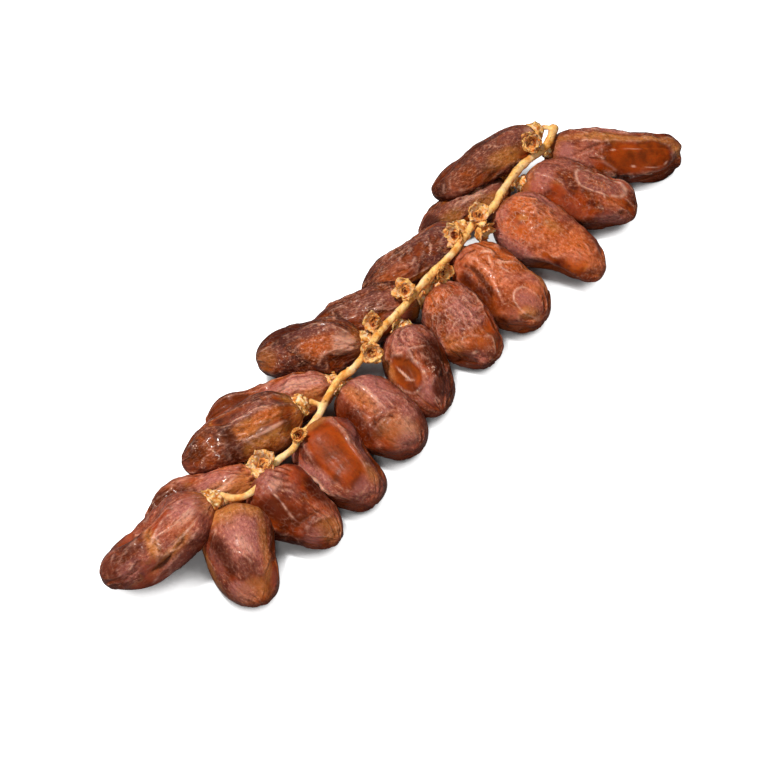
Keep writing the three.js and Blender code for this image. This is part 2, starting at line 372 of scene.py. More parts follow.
def skin_group() -> Tree:
    """The shared look of a date's skin: papery where it has lifted, glossy where it clings.

    Returns:
        A group from the tone's colours to colour, roughness, coat and height.
    """
    colours = ("Lifted", "Lifted Dark", "Stuck", "Stuck Dark", "Ochre", "Bloom")
    outputs = {"Colour": "Color"} | dict.fromkeys(("Roughness", "Coat", "Height"), "Float")
    group = new_group("date_skin_look", "ShaderNodeTree", dict.fromkeys(colours, "Color"), outputs)
    w = Wiring(group)
    given = w.node("NodeGroupInput").outputs
    place = w.node("ShaderNodeTexCoord").outputs["Object"]
    flat = w.out("ShaderNodeUVMap", uv_map="Skin")
    stretched = w.out("ShaderNodeMapping", {"Vector": flat, "Scale": (1.0, 0.45, 1.0)})
    squashed = w.out("ShaderNodeMapping", {"Vector": flat, "Scale": (1.0, 0.6, 1.0)})

    amber, ends, shade = w.mask("amber"), w.mask("ends"), w.mask("shade")
    cloud = w.grain(place, 170.0)
    fleck = w.blend(ends, w.grain(squashed, 1250.0, 4.0, 0.7), w.grain(place, 1000.0, 4.0, 0.7))
    streak = w.blend(ends, w.grain(stretched, 1100.0, 3.0, 0.6), w.grain(place, 700.0, 3.0, 0.6))
    crinkle = w.blend(ends, w.grain(stretched, 2600.0, 2.0, 0.5), w.grain(place, 1800.0, 2.0, 0.5))
    cells = {"Vector": squashed, "Scale": 900.0, "Randomness": 1.0}
    cells = w.out("ShaderNodeTexVoronoi", cells, feature="DISTANCE_TO_EDGE", voronoi_dimensions="2D")
    broken = w.span(w.grain(squashed, 700.0, 2.0), 0.42, 0.56)
    net = w.times(w.times(w.span(cells, 0.2, 0.0), broken), w.mask("crinkle"))

    papery = w.math("SUBTRACT", 1.0, amber)
    dull = w.times(papery, w.math("SUBTRACT", 1.0, w.times(shade, 0.85)))
    dirt = w.times(w.span(fleck, 0.50, 0.66, 0.0, 0.5), w.span(amber, 1.0, 0.0, 0.45, 1.0))
    # Painted glints: tiny near-white specks, laid on where the skin is glossy, stand in for highlights.
    painted_glints = w.span(w.grain(place, 1500.0, 2.0, 0.5), 0.58, 0.65)
    lifted = w.mix(w.span(cloud, 0.34, 0.66), given["Lifted Dark"], given["Lifted"])
    lifted = w.mix(w.span(streak, 0.47, 0.66, 0.0, 0.5), lifted, given["Lifted Dark"])
    stuck = w.mix(w.span(cloud, 0.30, 0.60), given["Stuck Dark"], given["Stuck"])
    stuck = w.mix(w.span(streak, 0.5, 0.75, 0.0, 0.25), stuck, given["Stuck Dark"])
    colour = w.mix(amber, lifted, stuck)
    layers = (
        # Orange patches of the skin, with painted glow in window middles and hollows.
        (w.times(w.mask("glow"), 0.72), (202, 94, 28)),
        # Mauve powdery skin, with painted sheen on the upper side.
        (w.times(w.mask("bloom"), 0.85), given["Bloom"]),
        (w.times(w.mask("ochre"), 0.75), given["Ochre"]),
        # Dark patches of the skin, with painted shade in creases, hollows, window edges and on the
        # underside.
        (w.times(shade, 0.85), (56, 12, 3)),
        # Paler dry skin, with painted highlights on crests, rims and sheen patches.
        (w.times(w.mask("pale"), 0.8), (236, 176, 148)),
        (w.times(net, 0.38), (224, 164, 136)),
        (dirt, (66, 13, 2)),
        (w.times(w.span(fleck, 0.46, 0.30, 0.0, 0.46), dull), (244, 174, 138)),
        (w.times(w.span(streak, 0.48, 0.30, 0.0, 0.26), dull), (240, 166, 130)),
        (w.times(painted_glints, w.span(w.mask("wet"), 0.3, 0.75, 0.0, 0.65)), (252, 202, 172)),
    )
    for share, tint in layers:
        colour = w.mix(share, colour, tint)

    fine = w.plus(w.plus(w.times(crinkle, 0.4), streak), w.times(fleck, 0.35))
    height = w.times(fine, w.plus(w.times(papery, 0.75), 0.25))
    results = {
        "Colour": colour,
        "Roughness": w.plus(w.plus(w.times(papery, 0.08), 0.42), w.span(fleck, 0.35, 0.65, -0.08, 0.08)),
        # One mask gives the skin real gloss through the coat and painted glints through the colour.
        "Coat": w.plus(w.times(amber, 0.01), w.times(w.mask("wet"), 0.9)),
        "Height": w.plus(height, w.times(net, 0.5)),
    }
    w.node("NodeGroupOutput", results)
    return group


@dataclass(frozen=True)
class SkinFinish:
    """A date's skin in one tone."""

    tone: SkinTone
    bump: float = 0.7
    bump_depth: float = 0.45
    limb: float = 0.5

    def material(self, look: Tree) -> Material:
        """Makes the material around the shared skin group."""
        material, w = new_material(f"date_skin_{self.tone.name}")
        part = w.node("ShaderNodeGroup", node_tree=look)
        tone, made = self.tone, part.outputs
        shades = (tone.lifted, tone.lifted_dark, tone.stuck, tone.stuck_dark, tone.ochre, tone.bloom)
        for socket, shade in zip(part.inputs, shades):
            w.feed(socket, linear(*shade))
        # Painted shade darkens the skin where it turns away from the viewer, and a pale painted sheen
        # lines its very edge.
        colour = w.mix(w.limb(0.30, 0.20, 0.80, self.limb), made["Colour"], (58, 14, 4))
        colour = w.mix(w.limb(0.30, 0.75, 1.0, 0.16), colour, (180, 104, 84))
        links = {
            "Base Color": colour,
            "Roughness": made["Roughness"],
            "Coat Weight": made["Coat"],
            "Coat Roughness": 0.13,
            "IOR": 1.46,
            "Specular IOR Level": 0.10,
            "Specular Tint": (1.0, 0.82, 0.72),
            "Subsurface Weight": 0.26,
            "Subsurface Radius": (1.0, 0.30, 0.10),
            "Subsurface Scale": 2.5 * MM,
            "Normal": w.bump(self.bump, self.bump_depth, made["Height"]),
        }
        w.node("ShaderNodeOutputMaterial", {"Surface": w.out("ShaderNodeBsdfPrincipled", links)})
        return material


@dataclass(frozen=True)
class DryFinish:
    """A dry plant skin with streaks: the stem's or the caps'."""

    name: str
    light: Shade
    dark: Shade
    deep: Shade
    cream: Shade
    scale: float = 900.0
    roughness: float = 0.62
    bump: float = 0.5
    limb: float = 0.45

    def material(self) -> Material:
        """Makes the material, which reads the masks deep and cream."""
        material, w = new_material(self.name)
        place = w.node("ShaderNodeTexCoord").outputs["Object"]
        cloud = w.grain(place, self.scale * 0.4, 3.0)
        fibre = w.grain(place, self.scale, 4.0, 0.6)
        colour = w.mix(w.span(cloud, 0.35, 0.65), self.dark, self.light)
        colour = w.mix(w.span(fibre, 0.5, 0.72, 0.0, 0.55), colour, self.dark)
        colour = w.mix(w.mask("cream"), colour, self.cream)
        # Painted shade darkens the edges that turn away from the viewer.
        colour = w.mix(w.limb(0.35, 0.25, 0.9, self.limb), colour, self.deep)
        links = {
            # The deep mask holds real dark scars and cut ends, and the painted shade in an open cup's
            # hollow.
            "Base Color": w.mix(w.mask("deep"), colour, self.deep),
            "Roughness": w.span(fibre, 0.3, 0.7, self.roughness - 0.1, self.roughness + 0.12),
            "Specular IOR Level": 0.12,
            "Specular Tint": (1.0, 0.8, 0.6),
            "Subsurface Weight": 0.3,
            "Subsurface Radius": (1.0, 0.45, 0.15),
            "Subsurface Scale": 1.5 * MM,
            "Normal": w.bump(self.bump, 0.25, fibre),
        }
        w.node("ShaderNodeOutputMaterial", {"Surface": w.out("ShaderNodeBsdfPrincipled", links)})
        return material


STEM_FINISH = DryFinish(
    "strand_skin", (250, 202, 124), (216, 140, 58), (118, 50, 8), (255, 230, 176), limb=0.6
)
CAP_FINISH = DryFinish(
    "cap_skin", (255, 192, 112), (220, 126, 50), (84, 24, 4), (255, 232, 194), 1300.0, 0.7, 0.7, 0.3
)


# Marks on the skin


class Kind(Enum):
    """What one mark on a date's skin is."""

    WINDOW = "smooth see-through patch with a thin rim"
    BLISTER = "raised papery patch with a pale rim"
    SCOOP = "papery hollow with a pale rim"
    RIDGE = "narrow raised line"
    VALLEY = "hollow line"
    CRINKLE = "patch of fine wrinkles"
    GLINT = "wet puckered patch"
    GLOW = "orange patch"
    OCHRE = "tan patch"
    SHADE = "dark patch"
    BLOOM = "mauve powdery patch"
    CLEAR = "see-through patch with a soft edge"
    # Sheen patches are painted highlights: pale glossy patches that stand in for light caught on the
    # skin.
    SHEEN = "pale rubbed patch"
    DENT = "broad hollow, or a bulge where its depth is below zero"


SOFT_MASKS = {
    Kind.CRINKLE: "crinkle",
    Kind.GLOW: "glow",
    Kind.OCHRE: "ochre",
    Kind.SHADE: "shade",
    Kind.BLOOM: "bloom",
    Kind.CLEAR: "amber",
    Kind.SHEEN: "pale",
}
TINTS = {"amber", "shade", "bloom", "glow", "ochre"}


@dataclass(frozen=True)
class Mark:
    """One mark: its kind, where it is, its size, its depth or strength, its turn and its bow.

    It lies `along` hundredths of the way to the date's tip, at an angle round the axis from the
    upper side. Its length runs towards the tip unless it is turned.
    """

    kind: Kind
    along: float
    angle: float
    length: float
    width: float
    depth: float = 0.5
    turn: float = 0.0
    bow: float = 0.0


@dataclass
class Skin:
    """A date's skin being worked out: a height in millimetres and masks, one value a point."""

    height: Array
    masks: dict[str, Array]

    def fade(self, share: Array, *names: str) -> None:
        """Takes masks away where share is 1."""
        for name in names:
            self.masks[name] = self.masks[name] * (1 - share)

    def add(self, name: str, values: Array) -> None:
        """Raises a mask to at least the values."""
        self.masks[name] = np.maximum(self.masks[name], values)

    def mark(
        self, mark: Mark, along: Array, angle: Array, length: float, girth: Array, wobble: tuple
    ) -> None:
        """Adds one mark.

        Args:
            mark: The mark.
            along: Each point's share of the way to the tip.
            angle: Each point's angle round the axis, in radians.
            length: The date's length.
            girth: The date's radius at each point.
            wobble: Slow and quick noise that keep the mark's outline from being regular.
        """
        ahead = (along - mark.along / 100) * length
        turned = (angle - math.radians(mark.angle) + math.pi) % (2 * math.pi) - math.pi
        beside = turned * np.maximum(girth, 2.0)
        cosine, sine = math.cos(math.radians(mark.turn)), math.sin(math.radians(mark.turn))
        u = ahead * cosine + beside * sine
        v = beside * cosine - ahead * sine - mark.bow * (u * 2 / mark.length) ** 2
        if mark.kind in (Kind.RIDGE, Kind.VALLEY):
            self.line(mark, u, v + wobble[0] * 0.9, wobble[1])
            return
        d = ((np.abs(u) * 2 / mark.length) ** 2.3 + (np.abs(v) * 2 / mark.width) ** 2.3) ** (1 / 2.3)
        if mark.kind is Kind.DENT:
            self.height = self.height - mark.depth * smooth_step(1.3, 0.2, d)
        elif mark.kind in SOFT_MASKS:
            self.stain(mark, d + 0.35 * wobble[0] + 0.12 * wobble[1])
        else:
            self.patch(mark, d + 0.14 * wobble[0] + 0.05 * wobble[1], u * 2 / mark.length, wobble)

    def patch(self, mark: Mark, d: Array, u: Array, wobble: tuple) -> None:
        """Adds a patch with a clear border: a window, blister, scoop or glint.

        Args:
            mark: The mark.
            d: How far out from its middle each point is; 1 on its border.
            u: The same along its length only, with a sign.
            wobble: Slow and quick noise.
        """
        inside = smooth_step(1.12, 0.76, d)
        gate = smooth_step(-0.9 if mark.kind is Kind.BLISTER else -0.5, 0.4, wobble[0] + wobble[1])
        rim = bell(d - 0.98, 0.6 / min(mark.length, mark.width)) * gate
        dome = 1 - np.minimum(d, 1) ** 2
        if mark.kind is Kind.WINDOW:
            sunk = mark.depth * (0.2 + 0.9 * dome) * inside
            self.height = self.height * (1 - 0.6 * inside) - sunk + 0.12 * rim
            self.fade(inside, "crinkle", "ochre", "bloom", "shade", "glow", "pale", "wet")
            self.add("amber", inside)
            self.add("calm", inside)
            # Painted light: the window's middle is lightened to a glowing orange, and painted shade
            # darkens its edge.
            self.add("glow", 0.4 * dome * inside)
            self.add("shade", 0.4 * smooth_step(0.6, 0.95, d) * inside)
            # The thin pale rim is partly the dry edge of the skin and partly a painted highlight.
            self.add("pale", rim * 0.25)
        elif mark.kind is Kind.GLINT:
            self.fade(0.6 * inside, "bloom", "ochre")
            self.add("amber", 0.6 * inside)
            self.add("crinkle", 0.3 * inside)
            # A glint patch is made glossy and gets painted glints.
            wet = min(0.3 + 1.2 * mark.depth, 1.0)
            self.add("wet", wet * inside * smooth_step(-0.2, 0.4, wobble[1]))
            self.height = self.height + inside * mark.depth * wobble[1]
        else:
            way = 1.0
            if mark.kind is Kind.SCOOP:
                way = -1.0
                rim = rim * smooth_step(-0.6, 0.5, u)
            self.height = self.height * (1 - 0.5 * inside) + way * mark.depth * dome + 0.2 * rim
            self.fade(inside, "amber", "pale", "shade")
            self.add("calm", 0.75 * inside)
            # The pale rim is partly the dry edge of the skin and partly a painted highlight.
            self.add("pale", rim * 0.8)
            self.add("bloom", 0.5 * inside)

    def stain(self, mark: Mark, d: Array) -> None:
        """Adds a soft patch of colour or wrinkles, from how far out each point is."""
        soft = smooth_step(1.25, 0.35, d) * min(mark.depth * 2, 1)
        name = SOFT_MASKS[mark.kind]
        self.add(name, soft)
        # A sheen patch is a painted highlight, and it is made glossy too.
        if mark.kind is Kind.SHEEN:
            self.add("wet", 0.5 * soft**2)
        elif mark.kind is Kind.SHADE:
            self.fade(0.7 * soft, "bloom", "glow", "ochre", "pale")
        elif mark.kind is not Kind.CRINKLE:
            self.fade(0.7 * soft, *(TINTS - {name}))

    def line(self, mark: Mark, u: Array, v: Array, wobble: Array) -> None:
        """Adds a ridge or a valley with a sharp crease along its middle.

        Args:
            mark: The mark.
            u: How far along the line each point is, from its middle.
            v: How far beside the line each point is.
            wobble: Noise that breaks the line up.
        """
        reach = smooth_step(1.1, 0.4, np.abs(u) / (mark.length / 2))
        sharp = np.exp(-np.abs(v) / (mark.width * 0.5))
        broad = np.exp(-np.abs(v) / (mark.width * 2.0 + 0.6))
        step = np.tanh(v / mark.width) * bell(v, mark.width * 2.5)
        fold = mark.depth * (0.5 * sharp + 0.7 * broad + 0.25 * step) * reach
        broken = smooth_step(-0.2, 0.5, wobble)
        if mark.kind is Kind.RIDGE:
            self.height += fold
            # The pale line on the crest is partly dry skin and partly a painted highlight, and the crest
            # is glossy.
            self.add("pale", bell(v, 0.3) * reach * broken * 0.6)
            self.add("wet", 0.5 * mark.depth * bell(v, 0.5) * reach * smooth_step(0.0, 0.5, wobble))
        else:
            self.height -= fold
            # Painted shade along the valley's bottom and a painted highlight on its shoulders.
            self.add("shade", 0.35 * bell(v, mark.width * 0.4) * reach)
            self.add("pale", bell(np.abs(v) - mark.width * 0.8, 0.3) * reach * broken * 0.35)


# Dates


@dataclass
class Axes:
    """A long piece's own axes: its base end, the way to its tip, its upper side and its right side."""

    base: Array
    along: Array
    up: Array
    side: Array
    length: float

    @classmethod
    def of(cls, node: str, cap: str) -> "Axes":
        """Finds a date node's axes.

        Args:
            node: The date's node.
            cap: The node of the cap on its base.

        Returns:
            Its axes, in metres.
        """
        points = node_points(node)
        middle = points.mean(axis=0)
        along = np.linalg.eigh(np.cov((points - middle).T))[1][:, 2]
        if (node_points(cap).mean(axis=0) - middle) @ along > 0:
            along = -along
        for _ in range(2):
            place = (points - middle) @ along
            low, high = np.quantile(place, 0.06), np.quantile(place, 0.94)
            ends = points[place >= high].mean(axis=0) - points[place <= low].mean(axis=0)
            along = ends / np.linalg.norm(ends)
        place = (points - middle) @ along
        up = UP - along * along[2]
        up /= np.linalg.norm(up)
        return cls(middle + along * place.min(), along, up, np.cross(up, along), float(np.ptp(place)))


@dataclass
class Date:
    """One date: its tone, the marks on its skin, and how strongly it is wrinkled.

    The first group of numbers shapes it round its node: how much it swells at its base, at its tip
    and on its upper side, and how far it reaches past its node's ends. The second group sets the
    strength of its folds, facets and wrinkles, how much of it is see-through, how much see-through
    amber is laid on its underside as painted shade, and how strong its chance colours are. The last
    group is how finely it is made.
    """

    name: str
    tone: Tone
    seed: int
    marks: tuple[Mark, ...]

    swell: float = 0.6
    tip: float = 0.0
    hump: float = 0.0
    reach: float = 0.8
    longer: float = 0.0

    folds: float = 0.4
    facets: float = 0.45
    crumple: float = 0.4
    amber: float = 0.35
    clear: float = 0.75
    chance: float = 1.0

    rings: int = 118
    around: int = 156
    rays: tuple[int, int] = (36, 48)
    ray_length: float = 0.04
    smooth: int = 6
    mean_radius: float = 9.0
    end_nudge: float = 0.02

    def outline(self, axes: Axes) -> Array:
        """Measures the node's radius and smooths its facets away.

        Args:
            axes: The date's axes.

        Returns:
            The radius in metres for each ring and each place round.
        """
        surface = node_surface(f"date_{self.name}")
        rows, columns = self.rays
        radius = np.zeros((rows, columns))
        for row, column in np.ndindex(rows, columns):
            turn, angle = math.pi * (row + 0.5) / rows, 2 * math.pi * column / columns
            start = axes.base + axes.along * axes.length * (1 - math.cos(turn)) / 2
            way = math.cos(angle) * axes.up + math.sin(angle) * axes.side
            hit = surface.ray_cast(Vector(start + way * self.ray_length), Vector(-way), self.ray_length)
            radius[row, column] = self.ray_length - hit[3] if hit[0] is not None else 0.0
        opposite = -np.roll(radius, columns // 2, axis=1)[::-1]
        waves = np.fft.fft2(np.concatenate([radius, opposite]))
        rings = np.fft.fftfreq(2 * rows, 1 / (2 * rows))
        turns = np.fft.fftfreq(columns, 1 / columns)
        slow_rings, slow_turns = np.abs(rings) <= self.smooth, np.abs(turns) <= self.smooth
        phase = np.pi * (np.arange(self.rings) + 0.5) / self.rings - np.pi * 0.5 / rows
        first = np.exp(1j * np.outer(phase, rings[slow_rings]))
        second = np.exp(1j * np.outer(turns[slow_turns], self.bearings()))
        fine = (first @ waves[np.ix_(slow_rings, slow_turns)] @ second).real / waves.size
        return np.maximum(fine, 0.0)

    def bearings(self) -> Array:
        """The angle of each place round a ring, starting underneath."""
        return np.pi + 2 * np.pi * np.arange(self.around) / self.around

    def wrinkle(self, places: Array, along: Array, angle: Array, length: float, girth: Array) -> Skin:
        """Works out the skin's height and masks.

        Args:
            places: Each point's place, in millimetres.
            along: Each point's share of the way to the tip.
            angle: Its angle round the axis, in radians.
            length: The date's length.
            girth: Its radius at each point.

        Returns:
            The skin.
        """
        seed, radius = self.seed * 101, self.mean_radius

        def cloud(size: float, number: int) -> Array:
            """Noise with round features of one size."""
            return noise(places / size, seed + number)

        def swept_by(*size: float) -> Array:
            """Places for noise with features that run lengthwise and drift."""
            return swept / np.array(size)

        drift = np.stack([cloud(9, k) for k in range(3)], axis=1)
        swept = np.stack([along * length, radius * np.cos(angle), radius * np.sin(angle)], axis=1)
        swept = swept + drift * 2.4
        lumps = cloud(12, 5)
        folds = noise(swept_by(34.0, 5.0, 5.0), seed + 7)
        lifted = noise(swept_by(22.0, 8.0, 8.0), seed + 11) + 0.3 * noise(swept / 4, seed + 13)
        lifted = lifted + 0.45 - self.amber
        stuck = smooth_step(0.06, -0.12, lifted)
        patch = smooth_step(-0.1, 0.4, cloud(7, 19))
        creases = np.exp(-np.abs(noise(swept_by(14.0, 3.2, 3.2), seed + 17)) / 0.09) * patch
        folded = self.folds + 0.10
        height = 0.35 * lumps - folded * np.exp(-np.abs(folds) / 0.16) + 0.25 * folded
        plateau = smooth_step(-0.14, 0.14, lifted)
        height += (self.facets + 0.08) * (plateau - 0.7) + 0.3 * self.facets * bell(lifted - 0.10, 0.04)
        height += 0.24 * self.chance * creases * np.sign(lumps + 0.2)
        masks = {
            "amber": stuck,
            "pale": bell(lifted - 0.10, 0.03) * smooth_step(0.1, 0.6, cloud(4, 47)) * 0.6,
            "calm": np.zeros(len(along)),
            "glow": 0.35 * self.chance * smooth_step(0.1, 0.7, cloud(8, 59)),
            "ochre": smooth_step(0.13, 0.03, along + 0.03 * drift[:, 0]) * 0.6,
            "shade": 0.45 * self.chance * smooth_step(0.15, 0.7, cloud(8, 29)),
            "bloom": 0.7 * (0.3 + 0.7 * self.chance) * smooth_step(-0.1, 0.5, cloud(9, 31)),
            "crinkle": 0.12 + 0.4 * patch * self.chance,
            "ends": 1 - smooth_step(0.05, 0.2, along) * smooth_step(0.95, 0.8, along),
            # Some of the stuck skin is made glossy, with painted glints.
            "wet": 0.12 * smooth_step(0.35, 0.7, cloud(4, 61)) * stuck,
        }
        masks["ochre"] += bell(lifted + 0.04, 0.05) * smooth_step(0.1, 0.5, cloud(5, 53)) * 0.5
        under = smooth_step(0.45, -0.35, np.cos(angle))
        # The random mauve is kept off the underside: on the upper side it is partly powdery skin and
        # partly painted sheen.
        masks["bloom"] *= 1 - 0.85 * under
        # Painted shade: the underside is made darker see-through amber, partly the clinging skin's own
        # colour and partly shade on the lower side.
        masks["amber"] = np.maximum(masks["amber"], self.clear * under)
        skin = Skin(height, masks)
        wobble = (cloud(6, 37), layered(places / 2.6, seed + 39, 2))
        for mark in self.marks:
            skin.mark(mark, along, angle, length, girth, wobble)
        # Painted shade on the underside.
        skin.add("shade", 0.42 * under)

        wide = np.abs(noise(swept_by(6.0, 4.2, 4.2), seed + 67))
        narrow = np.abs(noise(swept_by(2.9, 1.9, 1.9), seed + 71))
        amount = self.crumple * (0.35 + 0.65 * patch) + 0.5 * skin.masks["crinkle"]
        amount = amount * (1 - 0.8 * skin.masks["amber"]) * (1 - skin.masks.pop("calm"))
        skin.height = skin.height - amount * (2.0 * (wide - 0.28) + 0.6 * (narrow - 0.28))
        fine = layered(swept_by(3.4, 1.25, 1.25), seed + 41, 2)
        net = bell(cell_edges(swept_by(2.4, 1.3, 1.3), seed + 43), 0.16)
        crinkle = skin.masks["crinkle"] * (1 - 0.75 * skin.masks["amber"])
        skin.height += crinkle * (0.15 * fine + 0.10 * net)
        self.tint(skin)
        level = float(skin.height.mean())
        inner = smooth_step(0.0, 0.09, along) * smooth_step(1.0, 0.965, along)
        skin.height = level + (skin.height - level) * inner
        return skin

    def tint(self, skin: Skin) -> None:
        """Paints light and shade from the wrinkles: painted highlights and glints on the crests, and
        painted shade with an orange painted glow in the hollows between them.
        """
        grid = skin.height.reshape(self.rings, self.around)
        for width, strength in ((2, 1.0), (6, 0.6)):
            blur = sum(np.roll(grid, k, axis=1) for k in range(-width, width + 1)) / (2 * width + 1)
            padded = np.pad(blur, ((width, width), (0, 0)), mode="edge")
            blur = sum(padded[k : k + self.rings] for k in range(2 * width + 1)) / (2 * width + 1)
            relief = (grid - blur).ravel() / (0.03 * width)
            crest = strength * smooth_step(0.5, 2.6, relief)
            # Painted highlight and glints on crests; painted shade and painted orange glow in hollows.
            skin.masks["pale"] += 0.2 * crest * (1 - 0.6 * skin.masks["amber"])
            skin.masks["wet"] += 0.22 * crest * (width < 4)
            skin.masks["glow"] += 0.30 * strength * smooth_step(0.0, -1.2, relief)
            skin.masks["shade"] += 0.40 * strength * smooth_step(-0.6, -2.6, relief)

    def build(self, materials: dict[Tone, Material]) -> None:
        """Builds and dresses the date, with the skin materials given by tone."""
        axes = Axes.of(f"date_{self.name}", f"calyx_{self.name}")
        radius = self.outline(axes)
        axes.base = axes.base - axes.along * self.reach * MM
        axes.length += (self.reach + self.longer) * MM
        turn = np.pi * (np.arange(self.rings) + 0.5) / self.rings
        share = (1 - np.cos(turn)) / 2
        bearing = self.bearings()
        near_base = smooth_step(0.6, 0.15, share)
        above = np.clip(np.cos(bearing), 0, 1) ** 1.5
        growth = 0.55 + self.swell * near_base + self.tip * smooth_step(0.6, 0.9, share)
        growth = growth[:, None] + self.hump * near_base[:, None] * above[None, :]
        radius = radius + growth * (np.sin(turn) ** 0.45)[:, None] * MM
        along, angle = (grid.ravel() for grid in np.meshgrid(share, bearing, indexing="ij"))
        out = np.cos(angle)[:, None] * axes.up + np.sin(angle)[:, None] * axes.side
        centre = axes.base + along[:, None] * axes.length * axes.along
        points = centre + out * radius.reshape(-1)[:, None]

        grid = points.reshape(self.rings, self.around, 3)
        around = np.roll(grid, -1, axis=1) - np.roll(grid, 1, axis=1)
        normal = np.cross(around, np.gradient(grid, axis=0)).reshape(-1, 3)
        normal /= np.maximum(np.linalg.norm(normal, axis=1, keepdims=True), 1e-12)
        normal *= np.sign((normal * out).sum(axis=1, keepdims=True) + 1e-9)

        length = axes.length / MM
        skin = self.wrinkle((points - axes.base) / MM, along, angle, length, radius.reshape(-1) / MM)
        points = points + normal * skin.height[:, None] * MM
        points[:, 2] = np.maximum(points[:, 2], 0.0)
        rings = points.reshape(self.rings, self.around, 3)
        nudge = axes.along * self.end_nudge * MM
        ends = [rings[0].mean(axis=0) - nudge, rings[-1].mean(axis=0) + nudge]
        points = np.concatenate([points, ends])
        faces = [face[::-1] for face in grid_faces(self.rings, self.around)]
        piece = mesh_object(f"fruit_{self.name}", points, faces)
        for name, values in skin.masks.items():
            set_mask(piece.data, name, np.concatenate([values, [values[0], values[-1]]]))
        self.unwrap(piece.data, share * length)
        finish_piece(piece, f"date_{self.name}", materials[self.tone])

    def unwrap(self, mesh: Mesh, lengthwise: Array) -> None:
        """Lays the skin out flat in metres, round by along, for patterns that follow it.

        Args:
            mesh: The date's mesh.
            lengthwise: How far along each ring is, in millimetres.
        """
        corners = np.empty(len(mesh.loops), dtype=np.int64)
        mesh.loops.foreach_get("vertex_index", corners)
        ring = np.minimum(corners // self.around, self.rings - 1)
        column = np.where(corners >= self.rings * self.around, 0, corners % self.around).astype(float)
        totals = np.empty(len(mesh.polygons), dtype=np.int64)
        mesh.polygons.foreach_get("loop_total", totals)
        face = np.repeat(np.arange(len(totals)), totals)
        highest = np.zeros(len(totals))
        np.maximum.at(highest, face, column)
        crosses = (highest[face] > self.around * 0.75) & (column < self.around * 0.25)
        column = np.where(crosses, column + self.around, column)
        across = column / self.around * 2 * math.pi * self.mean_radius * MM
        layer = mesh.uv_layers.new(name="Skin")
        layer.data.foreach_set("uv", np.stack([across, lengthwise[ring] * MM], axis=1).ravel())


# Caps and cups


def petal_object(name: str, seed: int, length: float, width: float, flare: float) -> Thing:
    """A small papery petal: a thin closed leaf, standing up along Z and facing out along X.

    Args:
        name: Its name.
        seed: The seed of its ragged edge.
        length: Its length.
        width: Its width.
        flare: How far its tip leans out.

    Returns:
        The petal, which is only there to be repeated.
    """
    rows, columns = 10, 13
    up, across = np.meshgrid(np.linspace(0, 1, rows), np.linspace(-1, 1, columns), indexing="ij")
    up, across = up.ravel(), across.ravel()
    flat = np.stack([up * 2.5 + 7, across * 2.5, np.full_like(up, seed)], axis=1)
    ragged = noise(flat * 1.9, seed)
    half = width / 2 * np.sqrt(np.clip(1 - (up * 0.95) ** 5, 0, 1)) * (0.8 + 0.2 * np.sin(math.pi * up))
    z = up * length * (1 - 0.22 * np.abs(across) ** 2.4) * (1 + 0.24 * ragged)
    x = flare * up**1.6 - 0.5 * (across * half) ** 2 / width + 0.3 * noise(flat * 1.2, seed + 3) * up
    sheet = np.stack([x, across * half, z], axis=1) * MM
    thick = np.array([0.2 * MM, 0, 0])
    faces, count = [], rows * columns
    for row in range(rows - 1):
        for column in range(columns - 1):
            a = row * columns + column
            b, c, d = a + 1, a + columns + 1, a + columns
            faces += [(a, b, c, d), (a + count, d + count, c + count, b + count)]
    border = list(range(columns))
    border += [row * columns + columns - 1 for row in range(1, rows)]
    border += [(rows - 1) * columns + column for column in range(columns - 2, -1, -1)]
    border += [row * columns for row in range(rows - 2, 0, -1)]
    for a, b in zip(border, border[1:] + border[:1]):
        faces.append((b, a, a + count, b + count))
    petal = mesh_object(name, np.concatenate([sheet + thick, sheet - thick]), faces)
    petal.hide_render = True
    return petal


